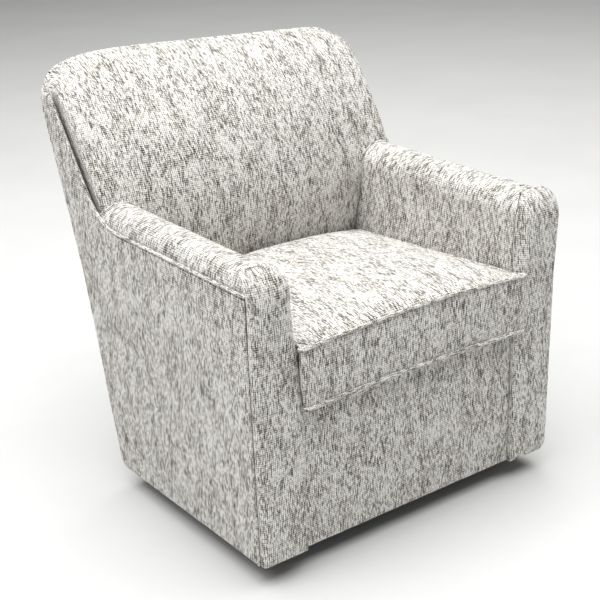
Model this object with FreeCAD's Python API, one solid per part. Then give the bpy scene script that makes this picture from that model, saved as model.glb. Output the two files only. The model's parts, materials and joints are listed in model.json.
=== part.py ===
"""Swivel glider chair: ring base, ball-bearing swivel, four-link glide, wooden frame and upholstery.

Millimetres, +Z up, front towards -Y. The origin is on the floor, on the swivel axis.
"""
import FreeCAD, Part
import math
import os

os.makedirs("parts", exist_ok=True)
V = FreeCAD.Vector
AXIS_X = V(1, 0, 0)
AXIS_Z = V(0, 0, 1)

# Clearances
running_fit = 0.08
open_pivot_clearance = 0.3
side_play = 0.3
seam_gap = 0.5
hole_clearance = 0.05

# Body envelope
body_bottom = 45.0
bottom_half_width = 377.5
side_flare = 0.014
front_y = -300.0
rear_bottom_y = 229.0
lower_rake = 0.2124
upper_rake = 0.325
rake_knee_height = 480.0
rake_reach = 200.0
panel_thickness = 10.0

# Back outline
corner_height = 838.0
crest_height = 892.0
crest_power = 3.0
shoulder_shares = (1.0, 0.8, 0.6, 0.3, 0.0)
top_front_radius = 14.0
top_rear_radius = 18.0
bottom_rear_radius = 20.0

# Arms
arm_width = 105.5
arm_inner_x = bottom_half_width - arm_width
arm_lean_start = 330.0
arm_lean_end = 565.0
arm_lean = 16.0
arm_crown = 641.0
arm_inner_radius = 48.0
arm_outer_radius = 27.0
arm_pad_bottom = 285.0
arm_wall_rear_y = 246.0
facing_thickness = 12.0
facing_drop = 7.0
seam_plane_y = 205.0
seam_plane_rake = 0.176

# Welts
welt_radius = 3.75
welt_play = 0.25
arm_welt_height = 598.0
welt_corner_y = 223.5
welt_corner_radius = 76.0
back_welt_rake = 0.687
welt_top = 826.0
welt_sink = 1.0

# Front panel and deck
front_panel_y = -294.0
front_panel_top = 344.0
deck_front_y = -284.0
deck_rear_y = 240.0
deck_height = 347.0
deck_slope = 0.0717
deck_thickness = 10.0

# Seat cushion
cushion_front_y = -320.0
cushion_rear_y = 221.0
cushion_play = 1.0
cushion_spread = 6.5
cushion_bottom_half_width = arm_inner_x - cushion_play
cushion_top_half_width = cushion_bottom_half_width + cushion_spread
bottom_welt_rise = 6.0
top_welt_rise = 128.0
crown_rise = 165.0
crown_steps = ((0.12, 0.4), (0.34, 0.76), (0.62, 0.95), (0.8, 1.0))
boxing_bulge = 2.5
draw_in = 4.0
draw_in_spread = 0.4
cushion_corner_radius = 28.0
cushion_welt_radius = 4.0
notch_slope = 1.0
wrap_thickness = 14.0
zip_margin = 56.0
zip_length = 2 * (cushion_bottom_half_width - zip_margin)
zip_width = 24.0
zip_depth = 6.0
zip_tape_thickness = 2.0
slider_length = 14.0
slider_width = 9.0
slider_thickness = 4.0

# Inside back pad
pad_side_gap = 3.0
pad_half_width = bottom_half_width - pad_side_gap
pad_bottom = 400.0
pad_rear_offset = 34.5
lumbar_height = 640.0
lumbar_radius = 160.0
lumbar_lead = 12.0
lumbar_crown = 10.0
low_crown = 12.0
top_puff = 48.0
pad_squareness = 6.0
roll_radius = 100.0
edge_roll_radius = 16.0
roll_drop = 4.0
crest_drop = 8.0
inner_pad_share = 0.38
outer_pad_shares = (0.86, 0.95, 1.0)

# Wooden frame
board = 22.0
frame_bottom = 47.0
frame_front_y = -284.0
arm_padding = 28.0
side_wadding = 3.5
post_inner_x = arm_inner_x + arm_padding
side_outer_x = bottom_half_width - panel_thickness - side_wadding
rail_height = 70.0
arm_rail_bottom = 560.0
back_post_width = 34.0
back_post_top = 800.0
crest_rail_height = 70.0
seat_rail_bottom = 210.0
seat_rail_height = 80.0
front_top_rail_top = 325.0
front_top_rail_height = 63.0
rear_seat_rail_top = 285.0
rear_seat_rail_height = 60.0
rear_seat_rail_y = 232.0
mechanism_rail_width = 44.0
mechanism_rail_height = 24.0

# Webbing and springs
webbing_thickness = 1.5
webbing_width = 50.0
webbing_heights = (440.0, 535.0, 625.0, 700.0)
spring_count = 5
spring_side_margin = 4.0
spring_spacing = (2 * arm_inner_x - spring_side_margin) / spring_count
spring_wire_radius = 1.8
spring_amplitude = 24.0
spring_pitch = 40.0
spring_lead = 30.0
spring_bend = 10.0
spring_lift = 0.9
clip_width = 12.0
clip_length = 14.0
clip_sheet = 1.5

# Base
ring_radius = 205.0
ring_tube_radius = 12.5
ring_centre_z = 15.5
strip_half_width = 11.0
strip_height = 10.0
strip_play = 0.2
cross_bar_width = 40.0
cross_bar_thickness = 5.0

# Swivel bearing
plate_radius = 88.0
plate_thickness = 3.0
race_radius = 60.0
ball_radius = 4.0
ball_sink = 1.2
ball_count = 24
king_bolt_radius = 6.0
king_head_height = 8.0
king_head_across = 19.0
king_nut_height = 10.0
bolt_circle = 74.0
bolt_radius = 3.0
bolt_head_radius = 5.0
bolt_head_height = 3.5
bolt_nut_height = 4.0
plate_bolt_offset = 54.0
dust_cover_thickness = 1.5
dust_opening = 180.0

# Swivel plate, hangers, links and carriage
swivel_plate_half_width = 128.0
swivel_plate_half_depth = 90.0
swivel_plate_thickness = 4.0
hanger_thickness = 4.0
pivot_half_span = 80.0
upper_pivot_z = 205.0
link_length = 130.0
link_half_width = 14.0
link_thickness = 6.0
hanger_link_space = 6.0
link_carriage_space = 6.0
pin_radius = 5.0
pin_head_radius = 9.0
pin_head_height = 4.0
bushing_wall = 2.0
hanger_foot_half = 80.0
hanger_top_half = 98.0
hanger_top_margin = 16.0
lightening_radius = 38.0
carriage_thickness = 4.0
carriage_flange = 34.0
carriage_half_length = 150.0
carriage_top = 228.0
carriage_bolt_radius = 4.0
carriage_bolt_head_radius = 7.0
carriage_bolt_head_height = 5.0
carriage_bolt_y = 128.0


# Helpers for outlines

def unit(a, b):
    """Direction from one flat point to another."""
    length = math.hypot(b[0] - a[0], b[1] - a[1])
    return (b[0] - a[0]) / length, (b[1] - a[1]) / length


def shifted(point, direction, distance):
    """A flat point moved along a direction."""
    return point[0] + direction[0] * distance, point[1] + direction[1] * distance


def rounded_corner(before, corner, after, radius):
    """Start, middle and end of the arc that rounds a corner."""
    back = unit(corner, before)
    ahead = unit(corner, after)
    half = 0.5 * math.acos(max(-1.0, min(1.0, back[0] * ahead[0] + back[1] * ahead[1])))
    inward = unit((0, 0), (back[0] + ahead[0], back[1] + ahead[1]))
    tangent = radius / math.tan(half)
    middle = shifted(corner, inward, radius / math.sin(half) - radius)
    return shifted(corner, back, tangent), middle, shifted(corner, ahead, tangent)


def rounded_edges(points, radii, place, closed=True):
    """Edges of a polyline with arcs at its corners; radius 0 keeps a corner sharp."""
    count = len(points)
    stops = []
    for index in range(count):
        if radii[index] == 0:
            stops.append((points[index], None, points[index]))
        else:
            after = points[(index + 1) % count]
            stops.append(rounded_corner(points[index - 1], points[index], after, radii[index]))
    edges = []
    for index in range(count):
        start, middle, end = stops[index]
        if middle is not None:
            edges.append(Part.Arc(place(*start), place(*middle), place(*end)).toShape())
        if index + 1 < count or closed:
            following = stops[(index + 1) % count][0]
            if math.dist(end, following) > 1e-6:
                edges.append(Part.LineSegment(place(*end), place(*following)).toShape())
    return edges


def rounded_face(points, radii, place):
    """Flat face inside a rounded outline."""
    return Part.Face(Part.Wire(rounded_edges(points, radii, place)))


def offset_path(points, distance):
    """An open polyline moved sideways, to the left of its direction of travel."""
    moved = []
    for index, point in enumerate(points):
        into = unit(points[max(index - 1, 0)], points[max(index, 1)])
        out = unit(points[min(index, len(points) - 2)], points[min(index + 1, len(points) - 1)])
        half = unit((0, 0), (into[0] + out[0], into[1] + out[1]))
        normal = (-half[1], half[0])
        stretch = distance / (half[0] * out[0] + half[1] * out[1])
        moved.append(shifted(point, normal, stretch))
    return moved


# Helpers for solids

def box(x0, x1, y0, y1, z0, z1):
    """Block between two corners."""
    return Part.makeBox(x1 - x0, y1 - y0, z1 - z0, V(x0, y0, z0))


def prism_x(points, x0, x1, radii=None):
    """A (y, z) outline carried along X."""
    corners = radii or [0] * len(points)
    return rounded_face(points, corners, lambda y, z: V(x0, y, z)).extrude(V(x1 - x0, 0, 0))


def prism_y(points, y0, y1, radii=None):
    """An (x, z) outline carried along Y."""
    corners = radii or [0] * len(points)
    return rounded_face(points, corners, lambda x, z: V(x, y0, z)).extrude(V(0, y1 - y0, 0))


def rod_x(radius, x0, x1, y, z):
    """Round bar along X."""
    return Part.makeCylinder(radius, x1 - x0, V(x0, y, z), AXIS_X)


def rod_z(radius, x, y, z0, z1):
    """Round bar along Z."""
    return Part.makeCylinder(radius, z1 - z0, V(x, y, z0), AXIS_Z)


def hex_z(across_flats, x, y, z0, z1):
    """Hexagonal bar along Z."""
    reach = across_flats / math.sqrt(3)
    corners = [V(x + reach * math.cos(k * math.pi / 3), y + reach * math.sin(k * math.pi / 3), z0)
               for k in range(7)]
    return Part.Face(Part.makePolygon(corners)).extrude(V(0, 0, z1 - z0))


def tube(edges, radius):
    """Round cord along joined edges."""
    path = Part.Wire(edges)
    first = path.OrderedEdges[0]
    start = first.valueAt(first.FirstParameter)
    heading = first.tangentAt(first.FirstParameter)
    if first.Orientation == "Reversed":
        start = first.valueAt(first.LastParameter)
        heading = first.tangentAt(first.LastParameter) * -1
    ring = Part.Wire(Part.makeCircle(radius, start, heading))
    return path.makePipeShell([ring], True, False)


def mirrored(shape):
    """The same shape on the other side of the chair."""
    return shape.mirror(V(0, 0, 0), AXIS_X)


def both_sides(shapes):
    """Shapes together with their mirror images."""
    return shapes + [mirrored(shape) for shape in shapes]


def save(name, *solids):
    """Write one node, made of one solid or a group of separate solids."""
    shape = solids[0] if len(solids) == 1 else Part.makeCompound(solids)
    for solid in shape.Solids:
        if not solid.isValid():
            print("not valid:", name)
    print(f"{name}: {len(shape.Solids)} solids, {shape.Volume / 1000:.1f} cm3")
    shape.exportStep(f"parts/{name}.step")


def save_pair(name, shape):
    """Write a right-hand piece and its left-hand mirror image."""
    save(f"{name}_right", shape)
    save(f"{name}_left", mirrored(shape))


# Shared places

def side_x(z):
    """Outside of the right side panel at a height."""
    return bottom_half_width + side_flare * (z - body_bottom)


def on_side(y, z):
    """Point on the outside of the right side panel."""
    return V(side_x(z), y, z)


side_normal = V(1, 0, -side_flare).normalize()
panel_inset = panel_thickness * math.hypot(1, side_flare)


def rake_y(z):
    """Outside of the back at a height."""
    knee_y = rear_bottom_y + lower_rake * (rake_knee_height - body_bottom)
    if z <= rake_knee_height:
        return rear_bottom_y + lower_rake * (z - body_bottom)
    return knee_y + upper_rake * (z - rake_knee_height)


def rake_line(z0, z1, offset):
    """Line up the back between two heights, moved forward from its outside."""
    far_below = (rake_y(z0 - rake_reach), z0 - rake_reach)
    knee = (rake_y(rake_knee_height), rake_knee_height)
    far_above = (rake_y(z1 + rake_reach), z1 + rake_reach)
    if z0 >= rake_knee_height or z1 <= rake_knee_height:
        low, high = offset_path([(rake_y(z0), z0), (rake_y(z1), z1)], offset)
        lean = (high[0] - low[0]) / (high[1] - low[1])
        return [(low[0] + lean * (z0 - low[1]), z0), (low[0] + lean * (z1 - low[1]), z1)]
    low, bend, high = offset_path([far_below, knee, far_above], offset)
    low_lean = (bend[0] - low[0]) / (bend[1] - low[1])
    high_lean = (high[0] - bend[0]) / (high[1] - bend[1])
    bottom = (bend[0] + low_lean * (z0 - bend[1]), z0)
    top = (bend[0] + high_lean * (z1 - bend[1]), z1)
    return [bottom, bend, top]


def rake_band(z0, z1, near, far):
    """Outline between two lines up the back, near and far being their offsets."""
    return rake_line(z0, z1, near) + rake_line(z0, z1, far)[::-1]


def seam_y(z):
    """Plane where the arms' rolled tops meet the inside back."""
    return seam_plane_y + seam_plane_rake * (arm_crown - z)


def welt_y(z):
    """Line of the welt up the side of the back."""
    return welt_corner_y + back_welt_rake * (z - arm_welt_height)


def deck_z(y):
    """Top of the seat deck."""
    return deck_height - deck_slope * (y - front_y)


def crest_z(x):
    """Arched top of the back."""
    return crest_height - (crest_height - corner_height) * abs(x / pad_half_width) ** crest_power


arm_lean_x = arm_inner_x + arm_lean
bar_bottom = ring_centre_z + ring_tube_radius
bar_top = bar_bottom + cross_bar_thickness
lower_plate_top = bar_top + plate_thickness
ball_centre_z = lower_plate_top + ball_radius - ball_sink
upper_plate_bottom = ball_centre_z + ball_radius - ball_sink
upper_plate_top = upper_plate_bottom + plate_thickness
swivel_plate_top = upper_plate_top + swivel_plate_thickness
lower_pivot_z = upper_pivot_z - link_length
hanger_x = swivel_plate_half_width - hanger_thickness
link_x = swivel_plate_half_width + hanger_link_space
carriage_x = link_x + link_thickness + link_carriage_space
side_inner_x = side_outer_x - board
back_post_x = side_outer_x - back_post_width
frame_back_offset = panel_thickness + seam_gap
post_front_offset = frame_back_offset + board
bolt_spots = [(bolt_circle, 0), (0, bolt_circle), (-bolt_circle, 0), (0, -bolt_circle)]
plate_bolt_spots = [(sx * plate_bolt_offset, sy * plate_bolt_offset) for sx in (1, -1) for sy in (1, -1)]
welt_path = [(front_y + facing_thickness + seam_gap, arm_welt_height),
             (welt_corner_y, arm_welt_height),
             (welt_y(welt_top), welt_top)]


def welt_centre(y, z):
    """Centre of a welt that lies in the right side panel's edge."""
    return on_side(y, z) - side_normal * welt_sink


def side_welt(radius):
    """Cord along the top edge of the right side panel."""
    return tube(rounded_edges(welt_path, [0, welt_corner_radius, 0], welt_centre, False), radius)


# Base, standing on the floor

def make_base():
    """Ring, floor strip, cross bars, lower bearing plate, balls, king bolt and bolts."""
    ring = Part.makeTorus(ring_radius, ring_tube_radius, V(0, 0, ring_centre_z))
    save("base_ring", ring)
    strip = rod_z(ring_radius + strip_half_width, 0, 0, 0, strip_height)
    strip = strip.cut(rod_z(ring_radius - strip_half_width, 0, 0, 0, strip_height))
    strip = strip.cut(Part.makeTorus(ring_radius, ring_tube_radius + strip_play, V(0, 0, ring_centre_z)))
    save("floor_strip", strip)

    holes = [rod_z(king_bolt_radius + hole_clearance, 0, 0, 0, lower_plate_top)]
    holes += [rod_z(bolt_radius + hole_clearance, x, y, 0, lower_plate_top) for x, y in bolt_spots]
    half = cross_bar_width / 2
    wide_bar = box(-ring_radius, ring_radius, -half, half, bar_bottom, bar_top)
    rear_bar = box(-half, half, half, ring_radius, bar_bottom, bar_top)
    front_bar = box(-half, half, -ring_radius, -half, bar_bottom, bar_top)
    save("cross_bars", *[bar.cut(holes) for bar in (wide_bar, rear_bar, front_bar)])

    race = Part.makeTorus(race_radius, ball_radius + running_fit, V(0, 0, ball_centre_z))
    lower_plate = rod_z(plate_radius, 0, 0, bar_top, lower_plate_top).cut(holes + [race])
    save("bearing_lower_plate", lower_plate)
    turns = [2 * math.pi * k / ball_count for k in range(ball_count)]
    spots = [V(race_radius * math.cos(a), race_radius * math.sin(a), ball_centre_z) for a in turns]
    save("bearing_balls", *[Part.makeSphere(ball_radius, spot) for spot in spots])

    nut_bottom = swivel_plate_top + side_play
    bolt_top = nut_bottom + king_nut_height
    bolt = hex_z(king_head_across, 0, 0, bar_bottom - king_head_height, bar_bottom)
    bolt = bolt.fuse(rod_z(king_bolt_radius, 0, 0, bar_bottom, bolt_top))
    nut = hex_z(king_head_across, 0, 0, nut_bottom, bolt_top)
    nut = nut.cut(rod_z(king_bolt_radius + hole_clearance, 0, 0, nut_bottom, bolt_top))
    save("king_bolt", bolt, nut)

    bolts = []
    for x, y in bolt_spots:
        shank = rod_z(bolt_radius, x, y, bar_bottom - bolt_nut_height, lower_plate_top)
        head = rod_z(bolt_head_radius, x, y, lower_plate_top, lower_plate_top + bolt_head_height)
        bolt_nut = hex_z(2 * bolt_head_radius, x, y, bar_bottom - bolt_nut_height, bar_bottom)
        bolts.append(shank.fuse([head, bolt_nut]))
    save("bearing_bolts", *bolts)


# Swivel, turning on the base

def make_swivel():
    """Upper bearing plate, swivel plate, hangers, upper pivot pins and plate bolts."""
    bore = rod_z(king_bolt_radius + running_fit, 0, 0, upper_plate_bottom, swivel_plate_top)
    holes = [rod_z(bolt_radius + hole_clearance, x, y, upper_plate_bottom, swivel_plate_top)
             for x, y in plate_bolt_spots]
    race = Part.makeTorus(race_radius, ball_radius + running_fit, V(0, 0, ball_centre_z))
    upper_plate = rod_z(plate_radius, 0, 0, upper_plate_bottom, upper_plate_top)
    save("bearing_upper_plate", upper_plate.cut(holes + [bore, race]))
    plate = box(-swivel_plate_half_width, swivel_plate_half_width, -swivel_plate_half_depth,
                swivel_plate_half_depth, upper_plate_top, swivel_plate_top)
    save("swivel_plate", plate.cut(holes + [bore]))
    bolts = []
    for x, y in plate_bolt_spots:
        shank = rod_z(bolt_radius, x, y, upper_plate_bottom, swivel_plate_top)
        head = rod_z(bolt_head_radius, x, y, swivel_plate_top, swivel_plate_top + bolt_head_height)
        bolts.append(shank.fuse(head))
    save("swivel_plate_bolts", *bolts)

    hanger_top = upper_pivot_z + hanger_top_margin
    outline = [(-hanger_foot_half, swivel_plate_top), (hanger_foot_half, swivel_plate_top),
               (hanger_top_half, hanger_top), (-hanger_top_half, hanger_top)]
    hanger = prism_x(outline, hanger_x, swivel_plate_half_width, [0, 0, link_half_width, link_half_width])
    middle_z = (swivel_plate_top + upper_pivot_z) / 2
    cuts = [rod_x(lightening_radius, hanger_x, swivel_plate_half_width, 0, middle_z)]
    cuts += [rod_x(pin_radius + hole_clearance, hanger_x, swivel_plate_half_width, y, upper_pivot_z)
             for y in (-pivot_half_span, pivot_half_span)]
    save_pair("hanger", hanger.cut(cuts))

    outer_head_x = link_x + link_thickness + side_play
    pins = []
    for y in (-pivot_half_span, pivot_half_span):
        shank = rod_x(pin_radius, hanger_x, outer_head_x, y, upper_pivot_z)
        inner_head = rod_x(pin_head_radius, hanger_x - pin_head_height, hanger_x, y, upper_pivot_z)
        outer_head = rod_x(pin_head_radius, outer_head_x, outer_head_x + pin_head_height - side_play,
                           y, upper_pivot_z)
        pins.append(shank.fuse([inner_head, outer_head]))
    save("upper_pivot_pins", *both_sides(pins))


# Hanging links

def make_links():
    """Front and rear pairs of links with their flanged bushings."""
    bushing_radius = pin_radius + running_fit + bushing_wall
    for place, y, lower_play in (("front", -pivot_half_span, running_fit),
                                 ("rear", pivot_half_span, open_pivot_clearance)):
        w = link_half_width
        outline = [(y - w, lower_pivot_z - w), (y + w, lower_pivot_z - w),
                   (y + w, upper_pivot_z + w), (y - w, upper_pivot_z + w)]
        corner = w - hole_clearance
        link = prism_x(outline, link_x, link_x + link_thickness, [corner] * 4)
        bores = [rod_x(bushing_radius + hole_clearance, link_x, link_x + link_thickness, y, z)
                 for z in (lower_pivot_z, upper_pivot_z)]
        save_pair(f"{place}_link", link.cut(bores))

        upper = rod_x(bushing_radius, link_x, link_x + link_thickness, y, upper_pivot_z)
        upper_flange = rod_x(pin_head_radius, swivel_plate_half_width + side_play, link_x, y, upper_pivot_z)
        upper_bore = rod_x(pin_radius + running_fit, hanger_x, carriage_x, y, upper_pivot_z)
        lower = rod_x(bushing_radius, link_x, link_x + link_thickness, y, lower_pivot_z)
        lower_flange = rod_x(pin_head_radius, link_x + link_thickness, carriage_x - side_play,
                             y, lower_pivot_z)
        lower_bore = rod_x(pin_radius + lower_play, hanger_x, carriage_x, y, lower_pivot_z)
        bushings = [upper.fuse(upper_flange).cut(upper_bore), lower.fuse(lower_flange).cut(lower_bore)]
        save(f"{place}_link_bushings", *both_sides(bushings))


# Carriage under the seat

def make_carriage():
    """Carriage plates, lower pivot pins, wooden mechanism rails and their bolts."""
    foot = pivot_half_span + link_half_width
    low = lower_pivot_z - link_half_width
    outline = [(-foot, low), (foot, low), (carriage_half_length, upper_pivot_z),
               (carriage_half_length, carriage_top), (-carriage_half_length, carriage_top),
               (-carriage_half_length, upper_pivot_z)]
    far_x = carriage_x + carriage_thickness
    plate = prism_x(outline, carriage_x, far_x, [link_half_width, link_half_width, 0, 0, 0, 0])
    middle_z = (lower_pivot_z + upper_pivot_z) / 2
    cuts = [rod_x(lightening_radius, carriage_x, far_x, 0, middle_z)]
    cuts += [rod_x(pin_radius + hole_clearance, carriage_x, far_x, y, lower_pivot_z)
             for y in (-pivot_half_span, pivot_half_span)]
    flange = box(far_x, far_x + carriage_flange, -carriage_half_length, carriage_half_length,
                 carriage_top - carriage_thickness, carriage_top)
    bolt_x = far_x + carriage_flange / 2
    rail_top = carriage_top + mechanism_rail_height
    bolt_holes = [rod_z(carriage_bolt_radius + hole_clearance, bolt_x, y, lower_pivot_z, rail_top)
                  for y in (-carriage_bolt_y, carriage_bolt_y)]
    save_pair("carriage", plate.cut(cuts).fuse(flange.cut(bolt_holes)))

    bolts = []
    for y in (-carriage_bolt_y, carriage_bolt_y):
        head_top = carriage_top - carriage_thickness
        head = hex_z(2 * carriage_bolt_head_radius, bolt_x, y, head_top - carriage_bolt_head_height, head_top)
        bolts.append(head.fuse(rod_z(carriage_bolt_radius, bolt_x, y, head_top, rail_top)))
    save("carriage_bolts", *both_sides(bolts))

    inner_head_end = link_x - side_play
    pins = []
    for y in (-pivot_half_span, pivot_half_span):
        shank = rod_x(pin_radius, inner_head_end, far_x, y, lower_pivot_z)
        inner_head = rod_x(pin_head_radius, link_x - pin_head_height, inner_head_end, y, lower_pivot_z)
        outer_head = rod_x(pin_head_radius, far_x, far_x + pin_head_height, y, lower_pivot_z)
        pins.append(shank.fuse([inner_head, outer_head]))
    save("lower_pivot_pins", *both_sides(pins))

    all_holes = both_sides(bolt_holes)
    rail_inner_y = carriage_half_length - mechanism_rail_width
    rear_rail = box(-side_inner_x, side_inner_x, rail_inner_y, carriage_half_length, carriage_top, rail_top)
    front_rail = box(-side_inner_x, side_inner_x, -carriage_half_length, -rail_inner_y,
                     carriage_top, rail_top)
    save("mechanism_rails", front_rail.cut(all_holes), rear_rail.cut(all_holes))


# Wooden frame

def make_frame():
    """Rails and posts, all boards of one thickness."""
    front_back_y = frame_front_y + board
    frame_rail_top = frame_bottom + rail_height
    front_top_bottom = front_top_rail_top - front_top_rail_height
    save("front_rail_bottom", box(-post_inner_x, post_inner_x, frame_front_y, front_back_y,
                                  frame_bottom, frame_rail_top))
    save("front_rail_top", box(-post_inner_x, post_inner_x, frame_front_y, front_back_y,
                               front_top_bottom, front_top_rail_top))
    save_pair("front_post", box(post_inner_x, side_outer_x, frame_front_y, front_back_y,
                                frame_bottom, arm_rail_bottom))
    post_front_low = rake_line(frame_bottom, frame_rail_top, post_front_offset)[0][0]
    save_pair("side_rail", box(side_inner_x, side_outer_x, front_back_y, post_front_low - seam_gap,
                               frame_bottom, frame_rail_top))
    seat_rail_top = seat_rail_bottom + seat_rail_height
    post_front_seat = rake_line(seat_rail_bottom, seat_rail_top, post_front_offset)[0][0]
    save_pair("seat_rail", box(side_inner_x, side_outer_x, front_back_y, post_front_seat - seam_gap,
                               seat_rail_bottom, seat_rail_top))
    arm_rail_top = arm_rail_bottom + board
    post_front_arm = rake_line(arm_rail_bottom, arm_rail_top, post_front_offset)[0][0]
    save_pair("arm_rail", box(post_inner_x, side_outer_x, frame_front_y, post_front_arm - seam_gap,
                              arm_rail_bottom, arm_rail_top))
    post = rake_band(frame_bottom, back_post_top, frame_back_offset, post_front_offset)
    save_pair("back_post", prism_x(post, back_post_x, side_outer_x))
    save("crest_rail", prism_x(rake_band(back_post_top - crest_rail_height, back_post_top,
                                         frame_back_offset, post_front_offset), -back_post_x, back_post_x))
    rear_face = rake_line(frame_bottom, frame_rail_top, frame_back_offset)[0][0]
    save("rear_rail_bottom", box(-back_post_x, back_post_x, rear_face - board, rear_face,
                                 frame_bottom, frame_rail_top))
    save("rear_rail_seat", box(-back_post_x, back_post_x, rear_seat_rail_y, rear_seat_rail_y + board,
                               rear_seat_rail_top - rear_seat_rail_height, rear_seat_rail_top))


# Springs, deck and webbing

def make_suspension():
    """Sinuous seat springs with clips, the seat deck and the back's webbing straps."""
    front_end = frame_front_y + board / 2
    rear_end = rear_seat_rail_y + board / 2
    front_z = front_top_rail_top + spring_wire_radius + spring_lift
    rear_z = rear_seat_rail_top + spring_wire_radius
    slope = (rear_z - front_z) / (rear_end - front_end)
    run_count = int((rear_end - front_end - 2 * spring_lead) // spring_pitch)
    first_run = (front_end + rear_end - run_count * spring_pitch) / 2
    springs = []
    clips = []
    for k in range(spring_count):
        centre_x = (k - (spring_count - 1) / 2) * spring_spacing
        points = [(centre_x, front_end)]
        side = 1
        for run in range(run_count):
            near = first_run + run * spring_pitch
            previous_x = centre_x if run == 0 else points[-1][0]
            points.append((previous_x, near))
            points.append((centre_x + side * spring_amplitude, near))
            side = -side
        last = first_run + run_count * spring_pitch
        points.append((points[-1][0], last))
        points.append((centre_x, last))
        points.append((centre_x, rear_end))
        radii = [0] + [spring_bend] * (len(points) - 2) + [0]
        edges = rounded_edges(points, radii, lambda x, y: V(x, y, front_z + slope * (y - front_end)), False)
        springs.append(tube(edges, spring_wire_radius))
        for y, rail_top in ((front_end, front_top_rail_top), (rear_end, rear_seat_rail_top)):
            half = clip_width / 2
            inside_top = rail_top + 2 * spring_wire_radius + clip_sheet
            outer = box(centre_x - half, centre_x + half, y - clip_length / 2, y + clip_length / 2,
                        rail_top, inside_top + clip_sheet)
            inner = box(centre_x - half + clip_sheet, centre_x + half - clip_sheet, y - clip_length,
                        y + clip_length, rail_top, inside_top)
            clips.append(outer.cut(inner))
    save("seat_springs", *springs)
    save("spring_clips", *clips)

    deck_outline = [(deck_front_y, deck_z(deck_front_y) - deck_thickness),
                    (deck_rear_y, deck_z(deck_rear_y) - deck_thickness),
                    (deck_rear_y, deck_z(deck_rear_y)), (deck_front_y, deck_z(deck_front_y))]
    half = arm_inner_x - seam_gap
    save("seat_deck", prism_x(deck_outline, -half, half))

    straps = []
    for height in webbing_heights:
        low = height - webbing_width / 2
        high = height + webbing_width / 2
        band = rake_band(low, high, post_front_offset, post_front_offset + webbing_thickness)
        straps.append(prism_x(band, -side_outer_x, side_outer_x))
    save("back_webbing", *straps)


# Upholstered body

def make_body_panels():
    """Front panel, facings, side panels, outside back and dust cover."""
    half = arm_inner_x - seam_gap
    save("front_panel", box(-half, half, front_panel_y, front_panel_y + panel_thickness,
                            body_bottom, front_panel_top))

    facing_top = arm_crown - facing_drop
    facing = [(arm_inner_x, body_bottom), (side_x(body_bottom), body_bottom),
              (side_x(facing_top), facing_top), (arm_lean_x, facing_top),
              (arm_lean_x, arm_lean_end), (arm_inner_x, arm_lean_start)]
    save_pair("facing", prism_y(facing, front_y, front_y + facing_thickness,
                                [0, 0, arm_outer_radius, arm_inner_radius, 0, 0]))

    front_edge = front_y + facing_thickness + 2 * (welt_radius + welt_play)
    arm_edge, corner, top = offset_path(welt_path, -welt_radius - welt_play)
    lean = (top[0] - corner[0]) / (top[1] - corner[1])
    top_front = (top[0] + lean * (corner_height - top[1]), corner_height)
    panel = [(front_edge, body_bottom), (rear_bottom_y, body_bottom),
             (rake_y(rake_knee_height), rake_knee_height), (rake_y(corner_height), corner_height),
             top_front, corner, (front_edge, arm_edge[1])]
    concave = welt_corner_radius + welt_radius + welt_play
    radii = [0, bottom_rear_radius, 0, top_rear_radius, top_front_radius, concave, 0]
    save_pair("side_panel", rounded_face(panel, radii, on_side).extrude(side_normal * -panel_thickness))

    reach = 2 * corner_height
    band = prism_x(rake_band(body_bottom, reach, 0, panel_thickness), -reach, reach)
    side_gap = panel_inset + seam_gap
    shoulder = [(s * pad_half_width, crest_z(s * pad_half_width) - crest_drop) for s in shoulder_shares]
    edges = []
    right = [(side_x(body_bottom) - side_gap, body_bottom),
             (side_x(shoulder[0][1]) - side_gap, shoulder[0][1])]
    arcs = [(right[1], shoulder[1], shoulder[2]), (shoulder[2], shoulder[3], shoulder[4])]
    flat = lambda x, z: V(x, -reach, z)
    for sign in (1, -1):
        edges.append(Part.LineSegment(flat(sign * right[0][0], right[0][1]),
                                      flat(sign * right[1][0], right[1][1])).toShape())
        edges += [Part.Arc(*[flat(sign * x, z) for x, z in arc]).toShape() for arc in arcs]
    edges.append(Part.LineSegment(flat(*right[0]), flat(-right[0][0], right[0][1])).toShape())
    arch = Part.Face(Part.Wire(Part.__sortEdges__(edges))).extrude(V(0, 2 * reach, 0))
    save("outside_back", band.common(arch))

    half = side_outer_x
    front = deck_front_y
    rear = rake_line(body_bottom, frame_bottom, frame_back_offset)[0][0]
    top = body_bottom + dust_cover_thickness
    strips = [box(-half, half, front, -dust_opening, body_bottom, top),
              box(-half, half, dust_opening, rear, body_bottom, top),
              box(dust_opening, half, -dust_opening, dust_opening, body_bottom, top),
              box(-half, -dust_opening, -dust_opening, dust_opening, body_bottom, top)]
    save("dust_cover", *strips)


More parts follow.
